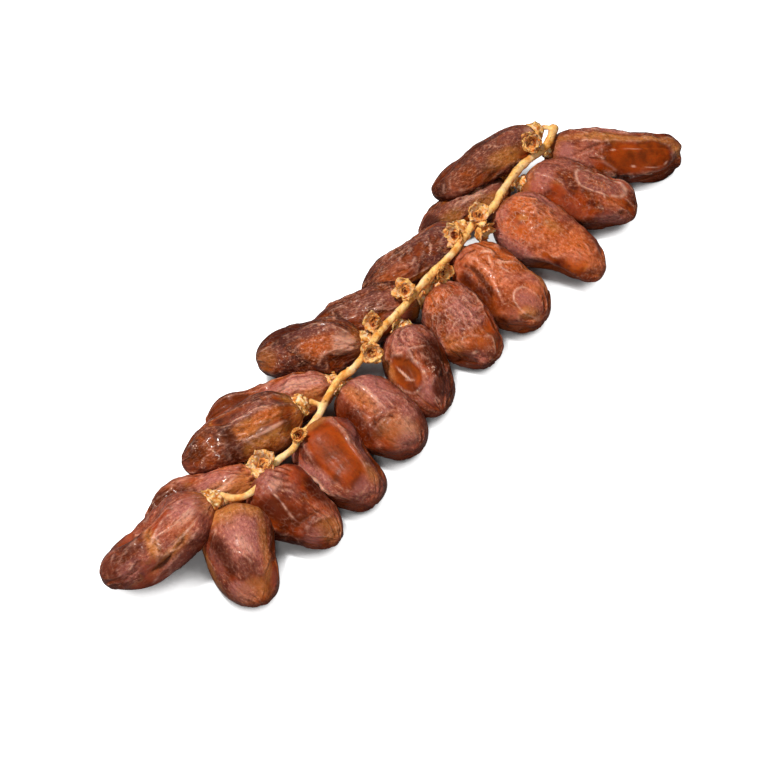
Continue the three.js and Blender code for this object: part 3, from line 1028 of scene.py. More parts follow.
def petal_ring_tree() -> Tree:
    """Geometry nodes that stand two rings of petals on the rim of the shape given."""
    inputs = {"Geometry": "Geometry", "Petal": "Object", "Inner Petal": "Object", "Count": "Int"}
    inputs |= dict.fromkeys(("Ring Radius", "Rim Height", "Lean"), "Float")
    inputs |= {"Seed": "Int", "Material": "Material"}
    tree = new_group("petal_rings", "GeometryNodeTree", inputs, {"Geometry": "Geometry"})
    w = Wiring(tree)
    given = w.node("NodeGroupInput").outputs
    both = w.node("GeometryNodeJoinGeometry")
    w.feed(both.inputs[0], given["Geometry"])
    for socket, share, offset in (("Petal", 1.0, 0.0), ("Inner Petal", 0.8, 1.0)):
        radius = w.times(given["Ring Radius"], share)
        ring = w.out("GeometryNodeMeshCircle", {"Vertices": given["Count"], "Radius": radius})
        step = w.times(w.math("DIVIDE", math.pi, given["Count"]), offset)
        spin = w.out("ShaderNodeCombineXYZ", {"Z": step})
        spun = w.out("GeometryNodeTransform", {"Geometry": ring, "Rotation": spin})
        petal = w.node("GeometryNodeObjectInfo", {"Object": given[socket], "As Instance": True})
        place = {"Vector": w.out("GeometryNodeInputPosition")}
        facing = w.out("FunctionNodeAlignRotationToVector", place, axis="X", pivot_axis="Z")
        seed = w.plus(given["Seed"], 11.0 * offset)
        swing = w.random_vector((-0.20, -0.28, -0.26), (0.20, 0.28, 0.26), seed)
        lean = w.out("ShaderNodeCombineXYZ", {"Y": given["Lean"]})
        angles = w.out("ShaderNodeVectorMath", {0: swing, 1: lean}, operation="ADD")
        turn = w.out("FunctionNodeEulerToRotation", {"Euler": angles})
        links = {"Rotation": facing, "Rotate By": turn}
        turned = w.out("FunctionNodeRotateRotation", links, rotation_space="LOCAL")
        size = w.random_vector((1.0, 0.8, 0.7), (1.0, 1.15, 1.15), w.plus(seed, 5.0))
        links = {"Points": spun, "Instance": petal.outputs["Geometry"]}
        links |= {"Rotation": turned, "Scale": size}
        petals = w.out("GeometryNodeInstanceOnPoints", links)
        solid = w.out("GeometryNodeRealizeInstances", {"Geometry": petals})
        height = w.out("ShaderNodeCombineXYZ", {"Z": given["Rim Height"]})
        raised = w.out("GeometryNodeTransform", {"Geometry": solid, "Translation": height})
        w.feed(both.inputs[0], raised)
    w.dressed(both.outputs[0], given["Material"])
    return tree


def grow(piece: Thing, tree: Tree, values: dict[str, object]) -> None:
    """Runs a geometry tree on a piece and keeps the result as its plain mesh.

    Args:
        piece: The piece.
        tree: The tree.
        values: The tree's inputs by name.
    """
    modifier = piece.modifiers.new(tree.name, "NODES")
    modifier.node_group = tree
    for item in tree.interface.items_tree:
        if item.in_out == "INPUT" and item.name in values:
            modifier[item.identifier] = values[item.name]
    shown = piece.evaluated_get(bpy.context.evaluated_depsgraph_get())
    mesh = bpy.data.meshes.new_from_object(shown)
    piece.modifiers.remove(modifier)
    piece.data = mesh


def turned_shape(name: str, profile: Profile, steps: int = 3, around: int = 40) -> Thing:
    """A closed round shape about Z.

    Args:
        name: Its name.
        profile: Pairs of radius and height, from the middle of its foot round to the middle inside.
        steps: Points added for each corner of the profile, to round it a little.
        around: Points round it.

    Returns:
        The object.
    """
    corners = np.array(profile)
    fine = [corners[0]]
    for a, b in zip(corners, corners[1:]):
        fine += [a + (b - a) * k / steps for k in range(1, steps + 1)]
    fine = np.array(fine)
    fine[1:-1] = (fine[:-2] + 2 * fine[1:-1] + fine[2:]) / 4
    bearing = 2 * math.pi * np.arange(around) / around
    points = [
        (radius * math.cos(angle) * MM, radius * math.sin(angle) * MM, height * MM)
        for radius, height in fine[1:-1]
        for angle in bearing
    ]
    points += [(0.0, 0.0, height * MM) for height in fine[[0, -1], 1]]
    return mesh_object(name, np.array(points), grid_faces(len(fine) - 2, around))


@dataclass
class Cap:
    """A dry cap: a calyx on a date's base, or an empty cup where a date has dropped off."""

    node: str
    facing: Array
    seed: int
    open: bool
    petals: int = 3
    lean: float = 0.10
    size: float = 1.0
    cream: float = 0.8

    def foot(self, sunk: float = 0.0) -> tuple[Array, float]:
        """The middle of the cap's foot in metres, sunk by some of them, and its node's depth."""
        points = node_points(self.node)
        place, middle = points @ self.facing, points.mean(axis=0)
        return middle + self.facing * (place.min() - middle @ self.facing - sunk), float(np.ptp(place))

    def profile(self, depth: float) -> tuple[Profile, float, float]:
        """The outline that is turned into its body, and the radius and height of its petals' ring."""
        if self.open:
            outside = [(0, 0), (1.3, 0), (1.9, 0.5), (2.6, 1.2), (3.0, 1.9), (3.1, 2.4), (2.7, 2.4)]
            inside = [(2.3, 1.8), (1.9, 1.2), (1.5, 1.6), (1.1, 2.0), (0.7, 1.3), (0, 1.7)]
            return outside + inside, 2.6, 1.2
        bowl = ((2.9, 0.36), (3.6, 0.68), (3.8, 0.9), (3.5, 0.93), (2.4, 0.72), (0, 0.55))
        return [(0, 0), (1.3, 0), (2.0, 0.35)] + [(r, depth * z) for r, z in bowl], 3.2, depth * 0.25

    def stains(self, local: Array, normals: Array) -> tuple[Array, Array]:
        """Where the cap is dark and where it is cream.

        Args:
            local: Its points about its own foot, in millimetres.
            normals: Which way each faces.

        Returns:
            The two masks.
        """
        # Random blotches, some darker and some cream.
        blotches = layered(local / 1.1 + self.seed, self.seed, 2)
        if not self.open:
            return 0.55 * smooth_step(0.0, 0.7, blotches), smooth_step(-0.05, -0.6, blotches)
        reach = np.linalg.norm(local[:, :2], axis=1)
        inward = -(normals[:, :2] * local[:, :2]).sum(axis=1) / np.maximum(reach, 0.3)
        # Painted shade: darker down in the open cup's hollow.
        deep = smooth_step(2.3, 1.0, reach) * smooth_step(0.4, 0.9, local[:, 2])
        deep = deep * (0.35 + 0.65 * smooth_step(-0.35, 0.25, blotches))
        # Cream on the inner faces and the petal tips: partly the calyx's own paler edges, partly painted
        # highlight.
        cream = 0.6 * smooth_step(0.0, 0.6, inward) * smooth_step(-0.4, 0.4, blotches)
        rim = smooth_step(3.0, 4.2, local[:, 2]) * smooth_step(-0.3, 0.4, blotches)
        return np.maximum(deep, 0.3 * smooth_step(0.1, 0.7, blotches)), np.maximum(cream, rim)

    def build(self, tree: Tree, petals: list[Thing], material: Material) -> None:
        """Builds the cap in its node's place and dresses it.

        Args:
            tree: The tree that rings it with petals.
            petals: The petals to choose from.
            material: Its material.
        """
        foot, depth = self.foot()
        profile, radius, rim = self.profile(depth / MM)
        piece = turned_shape(f"cap_{self.node}", profile)
        values = {
            "Petal": petals[self.seed % len(petals)],
            "Inner Petal": petals[(self.seed + 1) % len(petals)],
            "Count": self.petals,
            "Ring Radius": radius * MM,
            "Rim Height": rim * MM,
            "Lean": self.lean,
            "Seed": self.seed,
            "Material": material,
        }
        grow(piece, tree, values)
        normals = np.empty(len(piece.data.vertices) * 3)
        piece.data.vertex_normals.foreach_get("vector", normals)
        local = get_points(piece.data) / MM
        deep, cream = self.stains(local, normals.reshape(-1, 3))
        for size, strength in ((1.5, 0.5), (0.7, 0.2)):
            shift = [noise(local / size + 9 * k, self.seed + k) for k in range(3)]
            local = local + np.stack(shift, axis=1) * strength
        local = local * self.size
        spin = 2 * math.pi * cell_values(np.array([self.seed, 3, 7]), 5)
        side = np.cross(UP, self.facing)
        side = side / max(np.linalg.norm(side), 1e-9)
        first = math.cos(spin) * side + math.sin(spin) * np.cross(self.facing, side)
        second = np.cross(self.facing, first)
        placed = foot + (local[:, :1] * first + local[:, 1:2] * second + local[:, 2:] * self.facing) * MM
        set_points(piece.data, placed)
        set_mask(piece.data, "deep", deep)
        set_mask(piece.data, "cream", cream * self.cream)
        finish_piece(piece, self.node, material)


# The strand


def stem_tree() -> Tree:
    """Geometry nodes that turn lines with a thickness at each point into one joined, solid stem."""
    inputs = {"Geometry": "Geometry", "Step": "Float", "Voxel": "Float", "Bract": "Object"}
    inputs |= {"Joints": "Object", "Seed": "Int", "Material": "Material"}
    tree = new_group("stem", "GeometryNodeTree", inputs, {"Geometry": "Geometry"})
    w = Wiring(tree)
    given = w.node("NodeGroupInput").outputs
    curve = w.out("GeometryNodeMeshToCurve", {"Mesh": given["Geometry"]})
    fine = w.out("GeometryNodeResampleCurve", {"Curve": curve, "Length": given["Step"]}, mode="LENGTH")
    thick = w.out("GeometryNodeInputNamedAttribute", {"Name": "thick"}, data_type="FLOAT")
    sized = w.out("GeometryNodeSetCurveRadius", {"Curve": fine, "Radius": thick})
    circle = w.out("GeometryNodeCurvePrimitiveCircle", {"Resolution": 14, "Radius": 1.0}, mode="RADIUS")
    links = {"Curve": sized, "Profile Curve": circle, "Fill Caps": True}
    tube = w.node("GeometryNodeCurveToMesh", links)
    if "Scale" in tube.inputs:
        w.feed(tube.inputs["Scale"], thick)
    joints = w.node("GeometryNodeObjectInfo", {"Object": given["Joints"]}).outputs["Geometry"]
    bract = w.node("GeometryNodeObjectInfo", {"Object": given["Bract"], "As Instance": True})
    swing = w.random_vector((-3.1, -3.1, -3.1), (3.1, 3.1, 3.1), given["Seed"])
    turn = w.out("FunctionNodeEulerToRotation", {"Euler": swing})
    links = {"Points": joints, "Instance": bract.outputs["Geometry"], "Rotation": turn}
    bracts = w.out("GeometryNodeInstanceOnPoints", links)
    both = w.node("GeometryNodeJoinGeometry")
    w.feed(both.inputs[0], tube.outputs[0])
    w.feed(both.inputs[0], w.out("GeometryNodeRealizeInstances", {"Geometry": bracts}))
    links = {"Mesh": both.outputs[0], "Voxel Size": given["Voxel"], "Interior Band Width": 0.4 * MM}
    volume = w.out("GeometryNodeMeshToVolume", links, resolution_mode="VOXEL_SIZE")
    links = {"Volume": volume, "Voxel Size": given["Voxel"]}
    skin = w.out("GeometryNodeVolumeToMesh", links, resolution_mode="VOXEL_SIZE")
    w.dressed(skin, given["Material"])
    return tree


@dataclass
class Strand:
    """The stem that carries the bunch: its route, its thickness, and a short stub to each cap."""

    route: tuple[tuple[float, float, float], ...]
    cut_radius: float = 1.5
    tip_radius: float = 1.05
    stub_radius: float = 0.85
    stub_rise: float = 0.4
    step: float = 0.6
    voxel: float = 0.3
    steps: int = 14
    bract_seed: int = 4

    def line(self) -> Array:
        """The route as a smooth line of points, in metres."""
        corners = np.array(self.route)
        before, after = 2 * corners[0] - corners[1], 2 * corners[-1] - corners[-2]
        padded = np.concatenate([[before], corners, [after]])
        points = []
        for a, b, c, d in zip(padded, padded[1:], padded[2:], padded[3:]):
            for t in np.arange(self.steps) / self.steps:
                curve = 2 * b + (c - a) * t + (2 * a - 5 * b + 4 * c - d) * t**2
                points.append((curve + (3 * b - a - 3 * c + d) * t**3) / 2)
        return np.array([*points, corners[-1]]) * MM

    def build(self, feet: list[Array], bract: Thing, material: Material) -> None:
        """Builds the stem with a stub to each foot and dresses it.

        Args:
            feet: The middle of each cap's foot.
            bract: The small scale that sits at each joint.
            material: Its material.
        """

        def nearest(places: Array, marks: list[Array]) -> Array:
            """How far each place is from the nearest mark, in millimetres."""
            return np.min([np.linalg.norm(places - mark, axis=1) for mark in marks], axis=0) / MM

        line = self.line()
        roots = [line[np.argmin(np.linalg.norm(line - foot, axis=1))] for foot in feet]
        thick = self.cut_radius + (self.tip_radius - self.cut_radius) * np.linspace(0, 1, len(line))
        thick = thick * (1 + 0.16 * bell(nearest(line, roots), 1.6) + 0.06 * noise(line / MM / 4, 71))
        points, edges = list(line), [(k, k + 1) for k in range(len(line) - 1)]
        widths = list(thick)
        for foot, root in zip(feet, roots):
            points += [root, (root + foot) / 2 + UP * self.stub_rise * MM, foot]
            last = len(points) - 1
            edges += [(last - 2, last - 1), (last - 1, last)]
            widths += [self.stub_radius * 1.3, self.stub_radius, self.stub_radius * 1.15]
        piece = mesh_object("stem", np.array(points), [])
        piece.data.edges.add(len(edges))
        piece.data.edges.foreach_set("vertices", np.array(edges).ravel())
        layer = piece.data.attributes.new("thick", "FLOAT", "POINT")
        layer.data.foreach_set("value", np.array(widths, dtype=np.float32) * MM)
        joints = mesh_object("stem_joints", np.array(roots), [])
        joints.hide_render = True
        values = {"Step": self.step * MM, "Voxel": self.voxel * MM, "Bract": bract, "Joints": joints}
        values |= {"Seed": self.bract_seed, "Material": material}
        grow(piece, stem_tree(), values)
        placed = get_points(piece.data)
        local = placed / MM
        bumps = np.stack([noise(local / 1.6 + 5 * k, 61 + k) for k in range(3)], axis=1)
        set_points(piece.data, placed + bumps * 0.10 * MM)
        speck = smooth_step(0.35, 0.6, noise(local / 1.1, 77))
        cut = bell((local[:, 0] - local[:, 0].max()), 0.8)
        deep = 0.75 * bell(nearest(placed, roots) - 2.0, 0.7) * speck
        deep = deep + 0.6 * bell(nearest(placed, feet), 1.2) + 0.35 * cut
        set_mask(piece.data, "deep", deep)
        set_mask(piece.data, "cream", 0.6 * smooth_step(-0.1, 0.5, noise(local / 5, 79)))
        finish_piece(piece, "strand", material)
        bpy.data.objects.remove(joints)


# The bunch


def heading_to_way(heading: float, lift: float) -> Array:
    """The direction of a heading round from X and a lift above the table, in degrees."""
    turn, rise = math.radians(heading), math.radians(lift)
    return np.array([math.cos(turn) * math.cos(rise), math.sin(turn) * math.cos(rise), math.sin(rise)])


@dataclass(frozen=True)
class Cup:
    """One empty cup: which way it faces, its size, how its petals lean, how many, and how pale it is."""

    heading: float
    lift: float
    size: float
    lean: float
    petals: int
    cream: float


@dataclass
class Bunch:
    """The whole bunch, built date by date, then its caps, then the stem that joins them."""

    dates: tuple[Date, ...]
    cups: tuple[Cup, ...]
    strand: Strand
    calyx_seed: int = 30
    cup_seed: int = 60
    petal_seed: int = 90
    petal_kinds: int = 4
    bract_seed: int = 97
    foot_gap: float = 0.2

    def build(self) -> None:
        """Builds and dresses every piece."""
        look = skin_group()
        skins = {tone: SkinFinish(tone.value).material(look) for tone in Tone}
        cap_material = CAP_FINISH.material()
        caps = []
        for date in self.dates:
            date.build(skins)
            node = f"calyx_{date.name}"
            facing = Axes.of(f"date_{date.name}", node).along
            caps.append(Cap(node, facing, self.calyx_seed + date.seed, False))
        for number, cup in enumerate(self.cups):
            facing = heading_to_way(cup.heading, cup.lift)
            shape = (cup.petals, cup.lean, cup.size, cup.cream)
            caps.append(Cap(f"cup_{number + 1}", facing, self.cup_seed + number, True, *shape))
        kinds = range(self.petal_kinds)
        petals = [petal_object(f"petal_{k}", self.petal_seed + k, 3.0, 4.6, 0.5) for k in kinds]
        tree = petal_ring_tree()
        for cap in caps:
            cap.build(tree, petals, cap_material)
        bract = petal_object("bract", self.bract_seed, 1.9, 1.2, 0.2)
        feet = [cap.foot(self.foot_gap * MM)[0] for cap in caps]
        self.strand.build(feet, bract, STEM_FINISH.material())
        for spare in (*petals, bract):
            bpy.data.objects.remove(spare)


# What is on each date, from its base to its tip

WINDOW, BLISTER, SCOOP, RIDGE, VALLEY, CRINKLE, GLINT, GLOW, OCHRE, SHADE, BLOOM, CLEAR, SHEEN, DENT = (
    partial(Mark, kind) for kind in Kind
)

DATES = (
    Date("left_1", Tone.BROWN, 1, (
        DENT(70, -50, 20, 13, 1.4), DENT(26, -50, 22, 13, 1.9), SHADE(55, -30, 34, 6, 0.4),
        BLOOM(25, 10, 16, 8, 0.4), OCHRE(40, 50, 18, 7, 0.35), GLOW(78, 45, 14, 9, 0.15),
        SHADE(93, 20, 6, 10, 0.3), RIDGE(8, 20, 7, 1.2, 0.5, 75), SHEEN(10, 24, 5, 5, 0.25),
        BLOOM(50, 0, 20, 5, 0.25), VALLEY(90, 40, 6, 1.2, 0.3, 70),
    ), swell=1, tip=1.2, longer=1.2, folds=0.15, facets=0.2, crumple=0.12, amber=0.2, chance=0.3),
    Date("left_2", Tone.BROWN, 2, (
        BLOOM(40, 5, 28, 10), CRINKLE(45, 10, 20, 10), RIDGE(40, 20, 20, 1.4, 0.5, 4),
        RIDGE(48, 8, 16, 1, 0.4, 4), SHEEN(45, 12, 14, 3, 0.25, 4), OCHRE(35, 55, 22, 7, 0.35),
        OCHRE(70, 40, 12, 6, 0.3), SHADE(88, 10, 8, 9),
    ), longer=1.2, folds=0.25, facets=0.25),
    Date("left_3", Tone.PLUM, 3, (
        DENT(38, -50, 26, 12, 1.9), BLOOM(25, 15, 14, 10, 0.35), GLINT(35, 24, 9, 7, 0.7),
        SHEEN(36, 24, 3.4, 0.9, 0.45, 60), RIDGE(50, -28, 28, 1.4, 0.6), OCHRE(62, 72, 24, 2.4),
        RIDGE(62, 64, 24, 0.9), GLOW(72, 40, 14, 8, 0.35), GLINT(74, 52, 9, 4, 0.4),
    ), longer=1.1, folds=0.2, facets=0.3, crumple=0.2),
    Date("left_4", Tone.BROWN, 4, (
        CLEAR(62, 52, 22, 8), BLOOM(40, 5, 24, 9, 0.45), CRINKLE(42, 20, 14, 8),
        RIDGE(50, 28, 18, 1.2, 0.5, 6), SHADE(70, -25, 18, 5, 0.4), GLINT(45, 30, 6, 4, 0.4),
        GLOW(15, 35, 8, 8, 0.3), OCHRE(66, 76, 16, 3, 0.35),
    ), tip=0.6, longer=1.4, folds=0.25, facets=0.3, crumple=0.3),
    Date("left_5", Tone.PLUM, 5, (
        GLOW(35, 25, 18, 11, 0.35), SHADE(68, -18, 24, 13), RIDGE(28, -12, 24, 1.6, 0.8, -8, 2),
        RIDGE(20, 45, 18, 1.6, 0.8, 14, -1), SHEEN(14, 30, 8, 8, 0.3), VALLEY(18, 66, 12, 2, 0.9, 10),
        GLINT(74, 55, 10, 5, 0.25), OCHRE(88, 50, 8, 9, 0.3), OCHRE(3, 30, 5, 10, 0.35),
        BLOOM(45, 0, 20, 6, 0.35),
    ), tip=0.6, longer=0.9, folds=0.25, facets=0.25, crumple=0.3, amber=0.25),
    Date("left_6", Tone.SALMON, 6, (
        DENT(82, -50, 14, 12, -2), DENT(50, -50, 18, 11, -0.3), BLOOM(30, -5, 26, 9),
        RIDGE(30, 18, 28, 2.4, 0.9), SHEEN(28, 0, 20, 4, 0.2), OCHRE(30, 45, 20, 6, 0.45),
        GLOW(30, 60, 16, 6, 0.3), SHADE(80, -35, 18, 12, 0.45),
    ), longer=1.6),
    Date("left_7", Tone.BROWN, 7, (
        DENT(76, -50, 18, 12, -0.9), VALLEY(40, 20, 22, 5, 0.9, 3), OCHRE(40, 22, 20, 6, 0.5, 3),
        GLOW(28, 16, 12, 5), RIDGE(36, 42, 22, 2.4, 1.1, 3, 1.6), SHEEN(30, 44, 13, 1.5, 0.35, 3),
        GLOW(42, 22, 20, 5, 0.4, 3), OCHRE(34, 74, 20, 11), GLOW(34, 78, 16, 8, 0.3),
        BLOOM(38, -8, 22, 5), RIDGE(38, -4, 22, 1.2, 0.7), GLINT(80, 30, 13, 12, 0.3),
        GLOW(80, 30, 11, 9, 0.15), SHADE(86, 20, 9, 10, 0.3), VALLEY(60, 50, 14, 2.4, 0.9, 80),
        GLINT(66, 84, 14, 4, 0.4), SHADE(60, 40, 6, 18, 0.45),
    ), longer=-0.6, folds=0.25, facets=0.3, crumple=0.35, chance=0.5),
    Date("left_8", Tone.SALMON, 8, (
        DENT(68, -50, 20, 13, -2.2), BLOOM(35, 5, 22, 9), RIDGE(28, 14, 13, 1.6, 0.9, 14, 1.2),
        RIDGE(38, 30, 14, 1.6, 0.9, 10, 1), VALLEY(38, 20, 13, 1.6, 0.7, 12),
        SHEEN(25, 20, 6, 0.8, 0.45, 14), SHEEN(37, 33, 6, 0.8, 0.45, 10), SHEEN(43, 24, 5, 0.8, 0.4),
        OCHRE(26, 55, 24, 12), OCHRE(30, 78, 20, 9), GLINT(78, 20, 16, 16, 0.45), SHADE(74, 10, 22, 18),
        GLOW(84, 20, 9, 6, 0.3),
    ), longer=0, folds=0.3, facets=0.3),
    Date("left_9", Tone.ROSE, 9, (
        DENT(54, -52, 27, 14, 5), DENT(62, 112, 24, 11, -0.9), SCOOP(33, 36, 19, 11, 1.4, 6),
        SHEEN(24, 30, 10, 3, 0.25, 6), GLOW(32, 36, 15, 8, 0.3), SHEEN(34, 54, 15, 0.9, 0.4, 8),
        SHEEN(28, 24, 12, 0.8, 0.4, 6), SHEEN(50, 32, 5, 0.8, 0.45, 70), RIDGE(30, 20, 20, 2, 1, 6),
        BLOOM(20, 5, 14, 7), VALLEY(52, 20, 14, 2, 1, 78, 1.5), OCHRE(53, 18, 13, 4.5, 0.5, 78),
        VALLEY(48, 70, 20, 2.4, 1, 14, -2), OCHRE(47, 66, 20, 4, 0.5, 14),
        RIDGE(55, 40, 12, 1.2, 0.8, 62), BLOOM(52, 90, 17, 8, 0.45), RIDGE(56, 84, 16, 2, 0.8, 12),
        SHADE(68, 0, 12, 9, 0.45), SHADE(95, 40, 6, 12, 0.35), SHADE(84, 20, 14, 14, 0.35),
        BLOOM(78, 44, 9, 7, 0.35), SHADE(50, 84, 24, 10, 0.2),
    ), longer=1, folds=0.2, facets=0.25, crumple=0.25, chance=0.4),
    Date("right_1", Tone.ROSE, 11, (
        DENT(92, 42, 11, 11, -2.2), DENT(86, -110, 22, 14, 4.4), BLOOM(45, 40, 26, 8),
        RIDGE(45, 24, 24, 0.9), RIDGE(45, 34, 22, 0.8, 0.4), OCHRE(50, 4, 50, 5.5),
        RIDGE(50, -10, 42, 1.2, 0.6), BLOOM(14, -40, 9, 9, 0.4), SHADE(50, -82, 26, 4, 0.35),
        WINDOW(66, -45, 30, 13, 0.3), SHADE(66, -48, 20, 8, 0.2), VALLEY(30, -25, 14, 1.6, 0.8, 25),
        GLINT(38, -38, 6, 6), RIDGE(60, -84, 28, 1.2, 0.9), GLINT(62, -88, 26, 2.6, 0.7),
        SHEEN(47, -31, 2.4, 0.7, 0.45, 12), SHEEN(60, -26, 8, 0.5, 0.28, 2), SHEEN(62, -66, 2, 0.7, 0.42),
        SHEEN(75, -67, 8, 0.5, 0.28, 4), SHEEN(86, -58, 2.2, 0.8, 0.45, 40), OCHRE(94, -12, 5, 4),
    ), swell=1, tip=2.2, reach=2, folds=0.2, facets=0.25, crumple=0.3, chance=0.4),
    Date("right_2", Tone.ROSE, 12, (
        DENT(86, 45, 10, 10, -1.8), DENT(76, -105, 16, 12, 1.8), BLOOM(15, -30, 10, 14, 0.35),
        CLEAR(50, -62, 28, 13), SHADE(55, -98, 24, 7, 0.35), BLISTER(62, 8, 20, 10, 0.6, 8),
        CRINKLE(63, 8, 16, 9, 0.5, 10), VALLEY(60, 3, 12, 1.4, 0.5, 18), VALLEY(64, 16, 12, 1.2, 0.45, 6),
        GLOW(62, 5, 11, 5, 0.3, 10), VALLEY(88, 22, 8, 1.6, 0.5, -10), GLOW(80, -30, 9, 6, 0.45),
        BLOOM(84, -76, 12, 7, 0.45),
    ), swell=1.2, reach=1.8, longer=0.6, folds=0.2, facets=0.25, crumple=0.45, chance=0.5),
    Date("right_3", Tone.SALMON, 13, (
        DENT(72, -112, 22, 17, 6.6), DENT(82, 42, 16, 12, -0.8), CRINKLE(30, -22, 22, 26),
        GLOW(28, -25, 16, 14, 0.35), GLOW(26, -30, 8, 6), GLOW(50, -22, 9, 5), BLOOM(38, -85, 30, 9),
        BLOOM(25, 36, 20, 6, 0.45), BLOOM(12, -40, 8, 8, 0.35), RIDGE(33, 0, 13, 1.4, 0.6, -20),
        RIDGE(30, -14, 9, 1.2, 0.6, 35), RIDGE(43, -24, 9, 1.2, 0.5, 60), CLEAR(27, -32, 9, 7),
        CLEAR(41, -14, 8, 4.5, 0.5, 20), CLEAR(36, -48, 7, 4, 0.4), OCHRE(30, -26, 4, 2.4, 0.5, 30),
        OCHRE(50, -8, 9, 5, 0.3), GLOW(75, -20, 14, 12, 0.3), SHADE(78, 62, 18, 4, 0.4),
    ), swell=0.8, tip=1, reach=1.6, longer=-0.1, folds=0.15, facets=0.15, crumple=0.3, amber=0.1,
        chance=0.35),
    Date("right_4", Tone.SALMON, 14, (
        DENT(78, 46, 12, 11, -0.9), DENT(86, -118, 14, 14, 2.6), CRINKLE(38, 0, 22, 18, 0.4),
        GLOW(35, 10, 22, 14, 0.35), RIDGE(46, -28, 26, 2.2, 1, -12, -1.5),
        VALLEY(42, -44, 24, 2.4, 0.9, -12, -1.5), CLEAR(52, -66, 24, 12, 0.5, -8),
        SHADE(52, -70, 24, 10, 0.42, -8), SHADE(48, -42, 16, 2.4, 0.5, -12),
        BLISTER(87, -15, 10, 8, 0.35), BLOOM(87, -15, 9, 8, 0.4), RIDGE(34, 4, 8, 0.9, 0.5, 40),
        RIDGE(50, 18, 9, 0.9, 0.5, 55), RIDGE(46, 2, 7, 0.9, 0.45, -20), SHEEN(30, 2, 5, 0.8, 0.45, 40),
        SHEEN(38, -6, 4, 0.8, 0.45, -30), SHEEN(47, 8, 5, 0.8, 0.45, 60), SHEEN(54, 0, 4, 0.7, 0.4, 20),
        VALLEY(16, -20, 10, 1.6, 0.6, 75), OCHRE(93, -40, 5, 6, 0.4), OCHRE(70, 50, 14, 4),
    ), swell=1.4, tip=1, reach=1.4, longer=0.6, folds=0.2, facets=0.2, crumple=0.5, amber=0.15,
        chance=0.5),
    Date("right_5", Tone.ROSE, 15, (
        DENT(88, -100, 12, 14, 2.8), DENT(89, 40, 8, 11, -2.2), CRINKLE(38, -12, 28, 30),
        BLOOM(50, 5, 16, 12, 0.45), GLOW(20, -28, 12, 12, 0.4), GLOW(82, -25, 9, 14, 0.3),
        VALLEY(70, -55, 14, 2, 0.7, 55), OCHRE(72, -68, 11, 7, 0.3), GLOW(72, -72, 12, 8, 0.3),
        BLOOM(56, -88, 9, 6, 0.4), RIDGE(78, -20, 12, 1.6, 0.6, 70), RIDGE(55, 42, 22, 2, 0.7),
        BLOOM(93, -60, 6, 8, 0.3), SHEEN(90, -46, 3, 1.2, 0.5, 80),
    ), longer=-1.2, folds=0.2, facets=0.15, crumple=0.5, amber=0.1, chance=0.4),
    Date("right_6", Tone.ROSE, 16, (
        DENT(70, 60, 24, 14, 1.8), BLOOM(22, -5, 15, 16, 0.4), CRINKLE(22, -5, 15, 16),
        RIDGE(42, -18, 16, 1.6, 0.8, 80, 1.6), WINDOW(60, -46, 16, 10, 0.9, 12),
        SHADE(60, -46, 13, 8, 0.24), SHEEN(56, -50, 8, 0.9, 0.5, 14), SHEEN(67, -44, 4, 0.8, 0.4, 50),
        RIDGE(58, -50, 9, 0.8, 0.4, 10), RIDGE(60, -14, 16, 2, 0.9, 8), GLINT(68, 0, 7, 6, 0.4),
        BLOOM(86, -10, 9, 12, 0.45), SHADE(60, 36, 28, 12), SHADE(75, -50, 7, 6, 0.35),
        OCHRE(40, -72, 12, 5, 0.35),
    ), folds=0.25, facets=0.2, crumple=0.45, amber=0.15, chance=0.7),
    Date("right_7", Tone.ROSE, 17, (
        DENT(84, -113, 16, 12, 2.2), BLOOM(34, 14, 26, 16), SHEEN(34, -2, 20, 1.4, 0.3, -6),
        RIDGE(36, -6, 20, 1.8, 1, -6, 1.2), VALLEY(40, -24, 18, 3, 0.8, -6), OCHRE(32, -20, 16, 5, 0.35),
        GLOW(34, -28, 14, 5, 0.3), CLEAR(45, -74, 24, 12), SHADE(46, -62, 24, 9, 0.4),
        OCHRE(80, -24, 12, 15, 0.2), VALLEY(64, -26, 13, 2, 0.7, 72, -1.2), SHEEN(84, -6, 7, 8, 0.15),
        BLOOM(92, -40, 6, 9, 0.4), BLOOM(74, 22, 8, 8, 0.4),
    ), swell=1, reach=1.6, longer=-1, folds=0.2, facets=0.2, crumple=0.3, amber=0.15, chance=0.4),
    Date("right_8", Tone.ROSE, 18, (
        DENT(64, 66, 22, 15, 2.3), DENT(86, -110, 14, 12, 1.7), BLOOM(50, 48, 28, 10),
        WINDOW(50, -18, 30, 15, 0.3, -6), SHADE(52, -20, 26, 11, 0.14), RIDGE(52, 17, 26, 0.8, 0.6, -6),
        BLOOM(50, -68, 24, 6), SHEEN(50, -76, 20, 2.4), RIDGE(55, -76, 22, 1.4, 0.9),
        GLINT(56, -80, 14, 4, 0.7), SHEEN(62, -82, 5, 1.4), BLOOM(92, -20, 6, 16, 0.35),
        OCHRE(84, 30, 8, 6, 0.3), OCHRE(9, -8, 8, 16, 0.45), SHADE(35, -52, 16, 4, 0.35),
    ), swell=2.4, hump=0.5, reach=2.4, folds=0.15, facets=0.15, crumple=0.3, amber=0.15,
        chance=0.35),
    Date("right_9", Tone.ROSE, 19, (
        DENT(80, -116, 18, 14, 1.5), BLOOM(22, -15, 12, 14, 0.4), VALLEY(25, 15, 9, 1.2, 0.7, 20),
        VALLEY(29, 5, 9, 1.2, 0.7, 22), VALLEY(33, -5, 9, 1.2, 0.7, 24), VALLEY(21, 26, 8, 1.2, 0.6, 16),
        SHEEN(30, -8, 5, 6, 0.2, 20), CLEAR(42, 38, 22, 12), SHADE(58, 50, 14, 9), CLEAR(46, -42, 26, 13),
